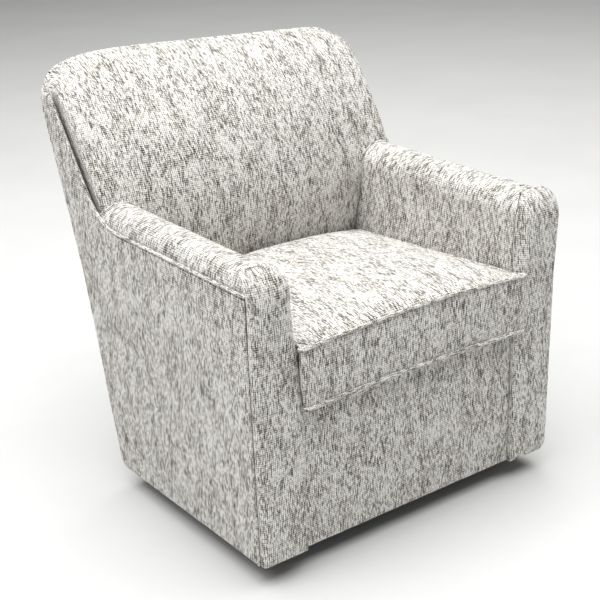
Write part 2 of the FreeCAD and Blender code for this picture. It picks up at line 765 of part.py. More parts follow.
def make_arms():
    """Inside arms with their rolled tops."""
    rail_top = arm_rail_bottom + board
    roll_bottom = arm_welt_height + welt_radius + welt_play
    outer_x = side_x(roll_bottom)
    outline = [(arm_inner_x, arm_pad_bottom), (post_inner_x, arm_pad_bottom), (post_inner_x, rail_top),
               (side_outer_x, rail_top), (side_outer_x, roll_bottom), (outer_x, roll_bottom),
               (outer_x, arm_crown), (arm_lean_x, arm_crown), (arm_lean_x, arm_lean_end),
               (arm_inner_x, arm_lean_start)]
    radii = [0, 0, 0, 0, 0, 0, arm_outer_radius, arm_inner_radius, 0, 0]
    pad = prism_y(outline, front_y + facing_thickness, arm_wall_rear_y, radii)
    top = arm_crown + board
    behind = prism_x([(seam_y(rail_top), rail_top), (seam_y(top), top), (2 * arm_wall_rear_y, top),
                      (2 * arm_wall_rear_y, rail_top)], 0, 2 * outer_x)
    notch = box(0, post_inner_x, front_y, frame_front_y + board + seam_gap, 0, front_top_rail_top + seam_gap)
    save_pair("arm_pad", pad.cut([behind, notch, side_welt(welt_radius + welt_play)]))


def fullness(share):
    """How far the back pad is filled at a share of its half width: 1 in the middle, 0 at an edge."""
    return max(0.0, 1 - abs(share) ** pad_squareness) ** 0.5


def back_section(share):
    """Wire of the back pad's section at a share of its half width, from the middle to an edge."""
    x = share * pad_half_width
    full = fullness(share)
    middle = max(0.0, 1 - (x / arm_inner_x) ** 2)
    lumbar_y = seam_y(lumbar_height) - lumbar_lead - lumbar_crown * middle
    low_y = seam_y(pad_bottom) + seam_gap - low_crown * middle
    top_z = crest_z(x)
    front_top_y = welt_y(corner_height - roll_drop) - top_puff * full
    rear = rake_line(pad_bottom, back_post_top + seam_gap, pad_rear_offset)[::-1]
    over = rake_line(back_post_top + seam_gap, top_z, frame_back_offset)[::-1]
    points = [(low_y, pad_bottom), (lumbar_y, lumbar_height), (front_top_y, top_z - roll_drop)] + over + rear
    roll = edge_roll_radius + (roll_radius - edge_roll_radius) * full
    radii = [0, lumbar_radius, roll] + [0] * (len(points) - 3)
    return Part.Wire(rounded_edges(points, radii, lambda y, z: V(x, y, z)))


def make_inside_back():
    """Crowned back pad: narrow between the arms, full width above them."""
    shares = [0.0, inner_pad_share, arm_inner_x / pad_half_width, *outer_pad_shares]
    shares = [-s for s in shares[:0:-1]] + shares
    pad = Part.makeLoft([back_section(share) for share in shares], True, True)
    rail_top = arm_rail_bottom + board
    reach = 2 * pad_half_width
    wall = [(arm_inner_x - seam_gap, 0), (arm_inner_x - seam_gap, arm_lean_start),
            (arm_lean_x - seam_gap, arm_lean_end), (arm_lean_x - seam_gap, rail_top + seam_gap),
            (reach, rail_top + seam_gap), (reach, 0)]
    arm = prism_y(wall, -reach, reach)
    top = arm_crown + board
    ahead = prism_x([(seam_y(rail_top) + seam_gap, rail_top), (seam_y(top) + seam_gap, top), (-reach, top),
                     (-reach, rail_top)], arm_inner_x, reach)
    save("inside_back", pad.cut(both_sides([arm, ahead])))


def make_welts():
    """Welts along the side panels' top edges and down the front corners."""
    save("side_welts", *both_sides([side_welt(welt_radius)]))
    y = front_y + facing_thickness + welt_radius + welt_play
    low = welt_centre(y, body_bottom)
    high = welt_centre(y, arm_welt_height - 2 * welt_radius)
    cord = Part.makeCylinder(welt_radius, (high - low).Length, low, high - low)
    save("front_welts", *both_sides([cord]))


# Loose seat cushion

def cushion_wire(inset, rise, narrow=0.0):
    """Outline of the cushion at a rise above the deck, drawn in between its corners."""
    share = rise / top_welt_rise
    half = cushion_bottom_half_width + (cushion_top_half_width - cushion_bottom_half_width) * share
    half -= inset + narrow + cushion_welt_radius
    near = cushion_front_y + cushion_welt_radius + inset + narrow
    far = cushion_rear_y - cushion_welt_radius - inset - narrow
    centre_y = (near + far) / 2
    lift = deck_z(cushion_front_y) + side_play + rise
    points = [(-half, near), (0, near + draw_in), (half, near), (half - draw_in, centre_y),
              (half, far), (0, far - draw_in), (-half, far), (-half + draw_in, centre_y)]
    bow = draw_in_spread * min(half, (far - near) / 2) ** 2 / draw_in
    radii = [cushion_corner_radius, bow] * 4
    place = lambda x, y: V(x, y, lift - deck_slope * (y - cushion_front_y))
    return Part.Wire(rounded_edges(points, radii, place))


def cushion_form(narrow, notch):
    """Boxed cushion with a crowned top, shrunk all round by narrow; a notch leaves room for each welt."""
    low = bottom_welt_rise + narrow
    high = top_welt_rise - narrow
    bottom_edge = [(0, low)]
    top_edge = [(0, high)]
    if notch > 0:
        bottom_edge = [(notch, low), (notch, low + notch), (0, low + notch + notch_slope)]
        top_edge = [(0, high - notch - notch_slope), (notch, high - notch), (notch, high)]
    reach = cushion_bottom_half_width - cushion_corner_radius - wrap_thickness
    crown = [(share * reach, high + rise * (crown_rise - top_welt_rise)) for share, rise in crown_steps]
    middle = [(-boxing_bulge, (bottom_welt_rise + top_welt_rise) / 2)]
    levels = [(2 * bottom_welt_rise, narrow)] + bottom_edge + middle + top_edge + crown
    return Part.makeLoft([cushion_wire(inset, rise, narrow) for inset, rise in levels], True, True)


def make_cushion():
    """Cover with its zip pocket, foam core, welts, zip tape and slider."""
    cover = cushion_form(0, cushion_welt_radius + welt_play).cut(cushion_form(wrap_thickness, 0))
    welts = [cushion_wire(0, rise) for rise in (bottom_welt_rise, top_welt_rise)]
    far = cushion_rear_y - cushion_welt_radius
    floor = far - draw_in - zip_depth
    middle = deck_z(far) + side_play + (bottom_welt_rise + top_welt_rise) / 2
    low = middle - zip_width / 2
    high = middle + zip_width / 2
    pocket = box(-zip_length / 2, zip_length / 2, floor, far + zip_depth, low, high)
    save("cushion_cover", cover.cut(pocket))
    save("cushion_core", cushion_form(wrap_thickness + side_play, 0))
    save("cushion_welts", *[tube(wire.Edges, cushion_welt_radius) for wire in welts])
    edge = zip_length / 2 - seam_gap
    save("zip_tape", box(-edge, edge, floor, floor + zip_tape_thickness, low + seam_gap, high - seam_gap))
    slider_y = floor + zip_tape_thickness + side_play
    save("zip_slider", box(-edge, -edge + slider_length, slider_y, slider_y + slider_thickness,
                           middle - slider_width / 2, middle + slider_width / 2))


make_base()
make_swivel()
make_links()
make_carriage()
make_frame()
make_suspension()
make_body_panels()
make_arms()
make_inside_back()
make_welts()
make_cushion()
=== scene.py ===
"""Looks of an upholstered swivel glider chair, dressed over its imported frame.

Lengths are in millimetres until a mesh is made. Front is towards -Y, up is +Z, and the floor is z = 0.
"""
import json
import logging
import math
from collections.abc import Callable, Sequence
from dataclasses import dataclass
from enum import Enum

import bmesh
import bpy
import numpy as np
from mathutils import Matrix


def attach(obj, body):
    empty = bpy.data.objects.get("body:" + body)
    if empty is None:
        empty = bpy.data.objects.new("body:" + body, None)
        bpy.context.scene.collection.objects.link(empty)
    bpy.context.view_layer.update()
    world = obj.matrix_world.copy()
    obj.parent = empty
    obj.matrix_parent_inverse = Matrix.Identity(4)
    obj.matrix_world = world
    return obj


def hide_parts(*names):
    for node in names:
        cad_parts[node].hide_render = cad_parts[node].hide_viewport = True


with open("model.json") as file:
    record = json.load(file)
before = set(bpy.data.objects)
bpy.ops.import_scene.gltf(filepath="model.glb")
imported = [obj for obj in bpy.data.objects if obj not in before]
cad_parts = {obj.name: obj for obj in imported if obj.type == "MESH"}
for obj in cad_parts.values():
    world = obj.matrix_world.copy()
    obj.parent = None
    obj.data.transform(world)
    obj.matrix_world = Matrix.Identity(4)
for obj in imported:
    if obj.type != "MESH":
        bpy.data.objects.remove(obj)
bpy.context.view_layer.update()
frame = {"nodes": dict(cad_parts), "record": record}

LOG = logging.getLogger("glider")
MM = 0.001
WEAVE = "weave"
EDGE_ROWS = 5
ARC_POINTS = 12
CORD_POINTS = 11
WELD_MM = 0.02
SAME_MM = 1e-6
SEED = 7
# Share of a line that the close stations at one end may take, and the steepest edge that widens them
EDGE_SHARE = 0.45
STEEPEST = 20.0
# Lumps of a covered cord: share of its radius, and wavelength
CORD_LUMPS = ((0.10, 13.0), (0.06, 60.0))
Reals = float | np.ndarray


class Side(Enum):
    """Sides of the chair, as the sign of x."""
    LEFT = -1
    RIGHT = 1


class Slot(Enum):
    """Material slots of the record."""
    FABRIC = "upholstery_fabric"
    DECK = "deck_cloth"
    DUST = "dust_cloth"


# Numbers and outlines

def smooth(low: float, high: float, value: np.ndarray) -> np.ndarray:
    """Ease from 0 at low to 1 at high along a cubic."""
    share = np.clip((value - low) / (high - low), 0, 1)
    return share * share * (3 - 2 * share)


def rounded(distance: np.ndarray, radius: float) -> np.ndarray:
    """Quarter circle that rises from 0 at an edge to 1 at a radius inside it."""
    return np.sqrt(1 - (1 - np.clip(distance / radius, 0, 1)) ** 2)


def unit(vectors: np.ndarray) -> np.ndarray:
    """Vectors scaled to length 1 along their last axis."""
    return vectors / np.linalg.norm(vectors, axis=-1, keepdims=True)


def stacked(*parts: np.ndarray) -> np.ndarray:
    """Coordinates joined into points along a new last axis."""
    return np.stack(np.broadcast_arrays(*parts), axis=-1)


def lengths(points: np.ndarray, axis: int = 0) -> np.ndarray:
    """Distances along lines of points, from the start of each line."""
    start = np.take(points, [0], axis=axis)
    return np.cumsum(np.linalg.norm(np.diff(points, axis=axis, prepend=start), axis=-1), axis=axis)


def ripples(a: np.ndarray, b: np.ndarray, size: float, seed: int) -> np.ndarray:
    """Gentle unevenness from -1 to 1: the mean of six sine waves in seeded directions.

    Args:
        a: First coordinate in millimetres.
        b: Second coordinate in millimetres.
        size: Middle wavelength in millimetres.
        seed: Seed of the directions, lengths and phases.

    Returns:
        An array of the coordinates' shape.
    """
    rng = np.random.default_rng(SEED + seed)
    heading = rng.uniform(0, math.pi, 6)
    number = 2 * math.pi / (size * rng.uniform(0.6, 1.6, 6))
    phase = rng.uniform(0, 2 * math.pi, 6)
    along = a[..., None] * np.cos(heading) + b[..., None] * np.sin(heading)
    return np.sin(along * number + phase).mean(axis=-1)


def groove(p: np.ndarray, q: np.ndarray, start: tuple, end: tuple, width: float) -> np.ndarray:
    """Bell-shaped mark along a line from start to end: 1 on the line, fading over a width and at its ends."""
    run = np.subtract(end, start)
    length = math.hypot(*run)
    along = ((p - start[0]) * run[0] + (q - start[1]) * run[1]) / length
    aside = ((p - start[0]) * run[1] - (q - start[1]) * run[0]) / length
    fade = smooth(-width, width, along) * smooth(-width, width, length - along)
    return np.exp(-(aside / width) ** 2) * fade


def rounded_outline(points: Sequence[tuple], radii: Sequence[float]) -> np.ndarray:
    """Closed outline whose corners are arcs: each arc turns between the two tangent points of its corner.

    Args:
        points: Corners in order.
        radii: Radius at each corner, 0 for a sharp one.

    Returns:
        Outline points, shape (n, 2).
    """
    corners = np.asarray(points, float)
    parts = []
    for before, corner, after, radius in zip(np.roll(corners, 1, 0), corners, np.roll(corners, -1, 0), radii):
        if radius == 0:
            parts.append(corner[None])
            continue
        back, ahead = unit(before - corner), unit(after - corner)
        half = 0.5 * math.acos(float(np.clip(back @ ahead, -1, 1)))
        centre = corner + unit(back + ahead) * radius / math.sin(half)
        first = corner + back * radius / math.tan(half) - centre
        last = corner + ahead * radius / math.tan(half) - centre
        turn = math.pi - 2 * half
        share = np.linspace(0, 1, ARC_POINTS)[:, None]
        arc = np.sin((1 - share) * turn) * first + np.sin(share * turn) * last
        parts.append(centre + arc / math.sin(turn))
    return np.concatenate(parts)


def rectangle(half: float, low: float, high: float, radius: float) -> np.ndarray:
    """Outline of a rectangle with rounded corners, centred on 0 across."""
    return rounded_outline([(-half, low), (half, low), (half, high), (-half, high)], [radius] * 4)


def evenly(path: np.ndarray, count: int, closed: bool = True) -> np.ndarray:
    """Points at equal steps along a path, a closed one without its repeated end."""
    line = np.concatenate([path, path[:1]]) if closed else path
    run = lengths(line)
    at = np.linspace(0, run[-1], count + 1)[:-1] if closed else np.linspace(0, run[-1], count)
    return np.stack([np.interp(at, run, line[:, k]) for k in range(line.shape[1])], axis=-1)


def stations(length: np.ndarray, low_edge: np.ndarray, high_edge: np.ndarray, count: int) -> np.ndarray:
    """Distances along lines: close together at both ends, as an arc's steps are, and even between.

    Args:
        length: Length of each line.
        low_edge: Width of the close steps at each line's start.
        high_edge: Width of the close steps at each line's end.
        count: Stations on each line.

    Returns:
        Distances, shape (lines, count).
    """
    share = 1 - np.cos(np.linspace(0, math.pi / 2, EDGE_ROWS + 1))
    low = np.minimum(low_edge, EDGE_SHARE * length)[:, None] * share
    high = length[:, None] - np.minimum(high_edge, EDGE_SHARE * length)[:, None] * share[::-1]
    steps = np.linspace(0, 1, count - 2 * EDGE_ROWS)
    middle = low[:, -1:] + (high[:, :1] - low[:, -1:]) * steps
    return np.concatenate([low[:, :-1], middle, high[:, 1:]], axis=1)


# Meshes

@dataclass
class Patch:
    """A grid of points with the place of each on the flat cloth, both in millimetres."""
    points: np.ndarray
    cloth: np.ndarray


def closed_ring(rings: np.ndarray, cloth: np.ndarray) -> Patch:
    """Patch through closed sections, whose two ends are drawn together at their middles.

    Args:
        rings: Sections in order, shape (sections, points, 3), each without its repeated first point.
        cloth: Cloth places, shape (sections, points + 1, 2).

    Returns:
        The patch, closed round each section and over both ends.
    """
    first = np.broadcast_to(rings[:1].mean(axis=1, keepdims=True), rings[:1].shape)
    last = np.broadcast_to(rings[-1:].mean(axis=1, keepdims=True), rings[-1:].shape)
    points = np.concatenate([first, rings, last])
    points = np.concatenate([points, points[:, :1]], axis=1)
    return Patch(points, np.concatenate([cloth[:1], cloth, cloth[-1:]]))


def tube(path: np.ndarray, radius: np.ndarray, side: np.ndarray, closed: bool = False) -> Patch:
    """Round cord along a path: a circle in the plane across the path at every point.

    Args:
        path: Centre line, shape (n, 3).
        radius: Radius at each point, 0 at the ends of an open cord.
        side: A direction across the path, for all points or for each.
        closed: Whether the last point joins the first.

    Returns:
        The cord's patch; its cloth is cut so that the warp runs along it.
    """
    line = np.concatenate([path, path[:1]]) if closed else path
    width = np.concatenate([radius, radius[:1]]) if closed else radius
    heading = np.gradient(line, axis=0)
    if closed:
        heading[[0, -1]] = line[1] - line[-2]
    heading = unit(heading)
    across = unit(side - (side * heading).sum(-1, keepdims=True) * heading)
    over = np.cross(heading, across)
    angle = np.linspace(0, 2 * math.pi, CORD_POINTS)
    ring = across[:, None] * np.cos(angle)[:, None] + over[:, None] * np.sin(angle)[:, None]
    points = line[:, None] + ring * width[:, None, None]
    return Patch(points, stacked(angle * width.max(), lengths(line)[:, None]))


def cord_radius(path: np.ndarray, radius: float, seed: int, open_ends: bool) -> np.ndarray:
    """Radius along a fabric-covered cord, uneven by a few percent, rounded off at open ends."""
    run = lengths(path)
    lumps = [share * ripples(run, run * 0, size, seed + k) for k, (share, size) in enumerate(CORD_LUMPS)]
    uneven = sum(lumps, 1.0)
    ends = rounded(np.minimum(run, run[-1] - run), radius) if open_ends else 1.0
    return radius * uneven * ends


def mesh_object(name: str, patches: Sequence[Patch], offset: tuple = (0.0, 0.0)) -> bpy.types.Object:
    """Object made of patches, welded where they meet, with outward normals and a cloth map in metres.

    Args:
        name: Piece name.
        patches: Grids of points; neighbours share their edges' points.
        offset: Shift of the cloth map in millimetres, so that no two pieces are cut from the same place.

    Returns:
        The object, at the origin, with smooth shading.
    """
    points, faces, cloth = [], [], []
    base = 0
    for patch in patches:
        rows, columns = patch.points.shape[:2]
        index = base + np.arange(rows * columns).reshape(rows, columns)
        quads = np.stack([index[:-1, :-1], index[:-1, 1:], index[1:, 1:], index[1:, :-1]], axis=-1)
        faces.append(quads.reshape(-1, 4))
        points.append(patch.points.reshape(-1, 3))
        cloth.append(patch.cloth.reshape(-1, 2))
        base += rows * columns
    corners = np.concatenate(faces)
    mesh = bpy.data.meshes.new(name)
    mesh.from_pydata(np.concatenate(points) * MM, [], corners)
    layer = mesh.uv_layers.new(name=WEAVE)
    flat = (np.concatenate(cloth) + np.asarray(offset)) * MM
    layer.data.foreach_set("uv", flat[corners.ravel()].ravel())
    work = bmesh.new()
    work.from_mesh(mesh)
    bmesh.ops.remove_doubles(work, verts=work.verts, dist=WELD_MM * MM)
    bmesh.ops.dissolve_degenerate(work, edges=work.edges, dist=WELD_MM * MM)
    bmesh.ops.recalc_face_normals(work, faces=work.faces)
    work.to_mesh(mesh)
    work.free()
    mesh.polygons.foreach_set("use_smooth", np.ones(len(mesh.polygons), bool))
    made = bpy.data.objects.new(name, mesh)
    bpy.context.scene.collection.objects.link(made)
    return made


def places(piece: bpy.types.Object) -> np.ndarray:
    """A piece's vertices in millimetres, shape (n, 3)."""
    flat = np.zeros(len(piece.data.vertices) * 3)
    piece.data.vertices.foreach_get("co", flat)
    return flat.reshape(-1, 3) / MM


def move_to(piece: bpy.types.Object, points: np.ndarray) -> None:
    """Put a piece's vertices at points in millimetres."""
    piece.data.vertices.foreach_set("co", (points * MM).ravel())
    piece.data.update()


def subdivided(piece: bpy.types.Object) -> None:
    """Add one level of subdivision, the same in the view and the render."""
    modifier = piece.modifiers.new("smooth cloth", "SUBSURF")
    modifier.levels = 1
    modifier.render_levels = 1


@dataclass(frozen=True)
class Stuffing:
    """How a padded piece is filled: a cloth skin blown up from inside until it is taut."""
    pressure: float = 4.0
    cap_mm: float = 10.0
    frames: int = 20
    tension: float = 20.0
    bending: float = 3.0
    mass: float = 0.3
    quality: int = 6

    def fill(self, piece: bpy.types.Object, held: np.ndarray) -> None:
        """Simulate the skin, and keep the result with each point's move capped.

        Args:
            piece: Closed mesh object.
            held: How firmly each vertex is held by a seam or what it rests on, from 0 to 1.
        """
        group = piece.vertex_groups.new(name="held")
        weights = held.round(2)
        for weight in np.unique(weights[weights > 0]):
            group.add(np.flatnonzero(weights == weight).tolist(), float(weight), "REPLACE")
        cloth = piece.modifiers.new("stuffing", "CLOTH")
        settings = cloth.settings
        settings.quality = self.quality
        settings.mass = self.mass
        settings.tension_stiffness = self.tension
        settings.compression_stiffness = self.tension
        settings.shear_stiffness = self.tension / 2
        settings.bending_stiffness = self.bending
        settings.use_pressure = True
        settings.uniform_pressure_force = self.pressure
        settings.effector_weights.gravity = 0.0
        settings.vertex_group_mass = group.name
        scene = bpy.context.scene
        for step in range(1, self.frames + 1):
            scene.frame_set(step)
        before = places(piece)
        flat = np.zeros(before.size)
        done = piece.evaluated_get(bpy.context.evaluated_depsgraph_get())
        done.data.vertices.foreach_get("co", flat)
        shift = flat.reshape(-1, 3) / MM - before
        length = np.linalg.norm(shift, axis=1, keepdims=True)
        capped = self.cap_mm * np.tanh(length / self.cap_mm)
        piece.modifiers.remove(cloth)
        piece.vertex_groups.clear()
        scene.frame_set(1)
        move_to(piece, before + shift * capped / np.maximum(length, 1e-9))
        LOG.info("%s filled, moved %.1f mm at most", piece.name, float(capped.max()))


# Finishes

def linear(code: str) -> tuple:
    """Linear RGBA of an sRGB hex colour."""
    parts = [int(code[k:k + 2], 16) / 255 for k in (1, 3, 5)]
    return (*[c / 12.92 if c <= 0.04045 else ((c + 0.055) / 1.055) ** 2.4 for c in parts], 1.0)


def add_node(tree: bpy.types.NodeTree, kind: str, inputs: dict | None = None, **settings) -> bpy.types.Node:
    """Add a node with its settings, and set or link its inputs.

    Args:
        tree: Node tree.
        kind: Node type.
        inputs: Socket name or number to a value or to the output socket that feeds it.
        settings: Attributes of the node.

    Returns:
        The node.
    """
    node = tree.nodes.new(kind)
    for key, value in settings.items():
        setattr(node, key, value)
    for key, value in (inputs or {}).items():
        if isinstance(value, bpy.types.NodeSocket):
            tree.links.new(value, node.inputs[key])
        else:
            node.inputs[key].default_value = value
    return node


def blank(name: str) -> tuple:
    """A new material's node tree, with its old shader removed, and the material."""
    material = bpy.data.materials.new(name)
    material.use_nodes = True
    tree = material.node_tree
    tree.nodes.clear()
    return material, tree


def close(tree: bpy.types.NodeTree, shader: bpy.types.Node) -> None:
    """Join a shader to the material's output."""
    add_node(tree, "ShaderNodeOutputMaterial", {"Surface": shader.outputs[0]})


@dataclass(frozen=True)
class Yarn:
    """A coloured yarn of the warp: its pitch, the length of its runs, when it surfaces, and how strongly."""
    colour: str
    pitch_mm: float
    run_mm: float
    bare: float
    solid: float
    strength: float


@dataclass(frozen=True)
class SlubCloth:
    """Heavy polyester basket weave: ivory yarn with thick charcoal slubs along the warp.

    It reads as a matt pale cloth with broken dark dashes up the warp and a dotted grain between them.
    The grain is drawn at 4.3 mm, two yarns to the wave, and its hollows are darkened with painted shade.
    """
    name: str = "ivory_slub_weave"
    ivory: str = "#F0F0EE"
    # Colour of the painted shade in the hollows of the weave
    shade: str = "#938A77"
    grain_mm: float = 4.3
    band_mm: tuple = (22.0, 110.0)
    crowding: float = 0.22
    slub_height: float = 0.4
    relief_mm: float = 0.6
    roughness: float = 0.92
    yarns: tuple = (
        Yarn("#82775F", 2.15, 11.0, 0.48, 0.57, 0.7),
        Yarn("#463B27", 2.15, 18.0, 0.55, 0.61, 0.9),
        Yarn("#1C1406", 2.15, 32.0, 0.585, 0.62, 1.0),
    )

    def material(self) -> bpy.types.Material:
        """Grain is a sine across the warp plus half of one along it; dashes are noise cut at a threshold."""
        material, tree = blank(self.name)
        place = add_node(tree, "ShaderNodeUVMap", uv_map=WEAVE)
        cloth = add_node(tree, "ShaderNodeVectorMath", {0: place.outputs[0], 1: (1 / MM, 1 / MM, 0)},
                         operation="MULTIPLY")
        axes = add_node(tree, "ShaderNodeSeparateXYZ", {0: cloth.outputs[0]})
        weft, warp = axes.outputs[0], axes.outputs[1]
        wide, long = self.band_mm
        bands = add_node(tree, "ShaderNodeVectorMath", {0: cloth.outputs[0], 1: (1 / wide, 1 / long, 0)},
                         operation="MULTIPLY")
        crowd = add_node(tree, "ShaderNodeTexNoise", noise_dimensions="2D",
                         inputs={"Vector": bands.outputs[0], "Scale": 1.0, "Detail": 2.0})

        # Grain of the basket weave, with painted shade mixed into its hollows
        turn = 2 * math.pi / self.grain_mm
        weft_angle = add_node(tree, "ShaderNodeMath", {0: weft, 1: turn}, operation="MULTIPLY")
        warp_angle = add_node(tree, "ShaderNodeMath", {0: warp, 1: turn}, operation="MULTIPLY")
        weft_wave = add_node(tree, "ShaderNodeMath", {0: weft_angle.outputs[0]}, operation="SINE")
        warp_wave = add_node(tree, "ShaderNodeMath", {0: warp_angle.outputs[0]}, operation="SINE")
        grain = add_node(tree, "ShaderNodeMath", {0: warp_wave.outputs[0], 1: 0.5, 2: weft_wave.outputs[0]},
                         operation="MULTIPLY_ADD")
        # Painted shade: the lower the grain, the more of the shade colour is mixed in
        painted_shade_share = add_node(tree, "ShaderNodeMapRange", {
            "Value": grain.outputs[0], "From Min": 0.6, "From Max": -1.4, "To Max": 0.7})
        colour = add_node(tree, "ShaderNodeMix", data_type="RGBA", inputs={
            "Factor": painted_shade_share.outputs[0], "A": linear(self.ivory), "B": linear(self.shade)}).outputs["Result"]
        height = grain.outputs[0]
        over = add_node(tree, "ShaderNodeMapRange", {
            "Value": warp_wave.outputs[0], "From Min": -1.0, "From Max": 0.5, "To Min": 1.0, "To Max": 0.5})

        # Yarns from the palest flecks to the dark slubs, each column with its own start
        rise = self.crowding / 2
        for number, yarn in enumerate(self.yarns):
            counted = add_node(tree, "ShaderNodeMath", {0: weft, 1: 1 / yarn.pitch_mm, 2: 40.3 * number},
                               operation="MULTIPLY_ADD")
            column = add_node(tree, "ShaderNodeMath", {0: counted.outputs[0]}, operation="FLOOR")
            chance = add_node(tree, "ShaderNodeTexWhiteNoise", {"W": column.outputs[0]},
                              noise_dimensions="1D").outputs["Value"]
            begin = add_node(tree, "ShaderNodeMath", {0: chance, 1: 900.0}, operation="MULTIPLY")
            along = add_node(tree, "ShaderNodeMath", {0: warp, 1: 1 / yarn.run_mm, 2: begin.outputs[0]},
                             operation="MULTIPLY_ADD")
            runs = add_node(tree, "ShaderNodeTexNoise", {"W": along.outputs[0], "Scale": 1.0, "Detail": 2.0},
                            noise_dimensions="1D")
            lean = add_node(tree, "ShaderNodeMath", operation="MULTIPLY_ADD", inputs={
                0: crowd.outputs[0], 1: self.crowding, 2: runs.outputs[0]})
            shown = add_node(tree, "ShaderNodeMapRange", {
                "Value": lean.outputs[0], "From Min": yarn.bare + rise, "From Max": yarn.solid + rise,
                "To Max": yarn.strength})
            dotted = add_node(tree, "ShaderNodeMath", {0: shown.outputs[0], 1: over.outputs[0]},
                              operation="MULTIPLY")
            colour = add_node(tree, "ShaderNodeMix", data_type="RGBA", inputs={
                "Factor": dotted.outputs[0], "A": colour, "B": linear(yarn.colour)}).outputs["Result"]
            height = add_node(tree, "ShaderNodeMath", {0: shown.outputs[0], 1: self.slub_height, 2: height},
                              operation="MULTIPLY_ADD").outputs[0]
        bump = add_node(tree, "ShaderNodeBump", {
            "Height": height, "Strength": 0.4, "Distance": self.relief_mm * MM})
        shader = add_node(tree, "ShaderNodeBsdfPrincipled", {
            "Base Color": colour, "Roughness": self.roughness, "Specular IOR Level": 0.2, "Sheen Weight": 0.1,
            "Sheen Roughness": 0.5, "Normal": bump.outputs[0]})
        close(tree, shader)
        return material


@dataclass(frozen=True)
class Plain:
    """A plain finish with the unevenness of how it was made.

    Two colours are mixed by noise stretched along one axis, and the same noise makes the relief.
    """
    name: str
    light: str
    dark: str
    roughness: float
    grain_mm: tuple = (3.0, 3.0, 3.0)
    metallic: float = 0.0
    relief_mm: float = 0.05
    detail: float = 4.0
    patchiness: float = 0.08

    def material(self) -> bpy.types.Material:
        """Noise on Object coordinates, divided by the grain's size along each axis."""
        material, tree = blank(self.name)
        place = add_node(tree, "ShaderNodeTexCoord")
        scale = tuple(1 / (size * MM) for size in self.grain_mm)
        stretched = add_node(tree, "ShaderNodeVectorMath", {0: place.outputs["Object"], 1: scale},
                             operation="MULTIPLY")
        noise = add_node(tree, "ShaderNodeTexNoise", {
            "Vector": stretched.outputs[0], "Scale": 1.0, "Detail": self.detail, "Roughness": 0.6}).outputs[0]
        spread = add_node(tree, "ShaderNodeMapRange", {"Value": noise, "From Min": 0.3, "From Max": 0.7})
        colour = add_node(tree, "ShaderNodeMix", data_type="RGBA", inputs={
            "Factor": spread.outputs[0], "A": linear(self.dark), "B": linear(self.light)})
        sheen = add_node(tree, "ShaderNodeMapRange", {
            "Value": noise, "To Min": self.roughness - self.patchiness,
            "To Max": self.roughness + self.patchiness})
        bump = add_node(tree, "ShaderNodeBump", {
            "Height": noise, "Strength": 0.5, "Distance": self.relief_mm * MM})
        shader = add_node(tree, "ShaderNodeBsdfPrincipled", {
            "Base Color": colour.outputs["Result"], "Metallic": self.metallic, "Roughness": sheen.outputs[0],
            "Normal": bump.outputs[0]})
        close(tree, shader)
        return material


# Finishes of the nodes that show as the frame made them, by the record's material slot
NODE_FINISHES = {
    # Sawn poplar: pale, with grain drawn out along the boards
    "frame_wood": Plain("sawn_poplar", "#C8A67A", "#A07E55", 0.7, (60.0, 4.0, 60.0), relief_mm=0.3),
    # Powder-coated steel: satin black with a slight orange peel
    "black_steel": Plain("powder_coated_steel", "#26262A", "#17171A", 0.45, (2.0, 2.0, 2.0), relief_mm=0.04),
    # Zinc-plated steel: dull blue-grey with cloudy patches
    "zinc_steel": Plain("zinc_plated_steel", "#B9BCC0", "#8E9298", 0.38, (9.0, 9.0, 9.0), 1.0),
    # Hardened bearing steel: bright, with faint marks
    "ball_steel": Plain("bearing_steel", "#DCDCDE", "#B8B9BC", 0.15, (1.5, 1.5, 1.5), 1.0, 0.01),
    # Oil-tempered spring wire: blue-black with drawn lines
    "spring_steel": Plain("oil_tempered_wire", "#55565C", "#2E2F34", 0.4, (2.0, 12.0, 2.0), 1.0),
    # Moulded nylon: translucent off-white
    "nylon": Plain("moulded_nylon", "#E4E1D6", "#CFCBBE", 0.5, (4.0, 4.0, 4.0)),
    # Extruded vinyl: matt black with scuffs
    "black_plastic": Plain("extruded_vinyl", "#2B2B2B", "#161616", 0.65, (5.0, 5.0, 1.0)),
    # Jute-faced elastic webbing: brown with crosswise ribs
    "webbing": Plain("elastic_webbing", "#8E6E48", "#5F4629", 0.9, (2.0, 30.0, 1.5), relief_mm=0.4),
    # Woven polyester tape with a coil: ribbed lengthways
    "zip_nylon": Plain("zip_tape", "#DAD6CB", "#B7B2A5", 0.8, (8.0, 2.0, 1.2), relief_mm=0.3),
    # Die-cast zinc: soft grey
    "zip_metal": Plain("die_cast_zinc", "#A9A9A8", "#7F7F80", 0.42, (3.0, 3.0, 3.0), 1.0),
    # Polyurethane foam: open cells
    "foam": Plain("seat_foam", "#EFE6C8", "#D8CDA8", 0.95, (1.5, 1.5, 1.5), relief_mm=0.6),
}
# Cotton deck cloth: close plain weave, drawn at 3 mm so that it shows
DECK_CLOTH = Plain("cotton_deck_cloth", "#CFCABD", "#B4AE9F", 0.92, (3.0, 1.2, 3.0), relief_mm=0.3)
# Spun-bonded dust cloth: thin black felt with a fibrous mottle
DUST_CLOTH = Plain("spun_bonded_cloth", "#232323", "#121212", 0.95, (6.0, 3.0, 3.0), relief_mm=0.2)
# Matt studio paint: almost white
FLOOR_PAINT = Plain("matt_studio_paint", "#DADAD9", "#D6D6D5", 0.9, (400.0, 400.0, 400.0), relief_mm=0.01)


def dress(piece: bpy.types.Object, material: bpy.types.Material, body: str, slot: Slot, *nodes: str) -> None:
    """Give a piece its material and body, and let it stand for CAD nodes.

    Args:
        piece: New piece.
        material: Its finish.
        body: CAD body that it rides on.
        slot: Material slot of the record; not used.
        nodes: CAD nodes that it replaces.
    """
    piece.data.materials.append(material)
    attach(piece, body)
    if nodes:
        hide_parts(*nodes)
    LOG.info("%s: %d faces on %s", piece.name, len(piece.data.polygons), body)


# Shared lines of the body

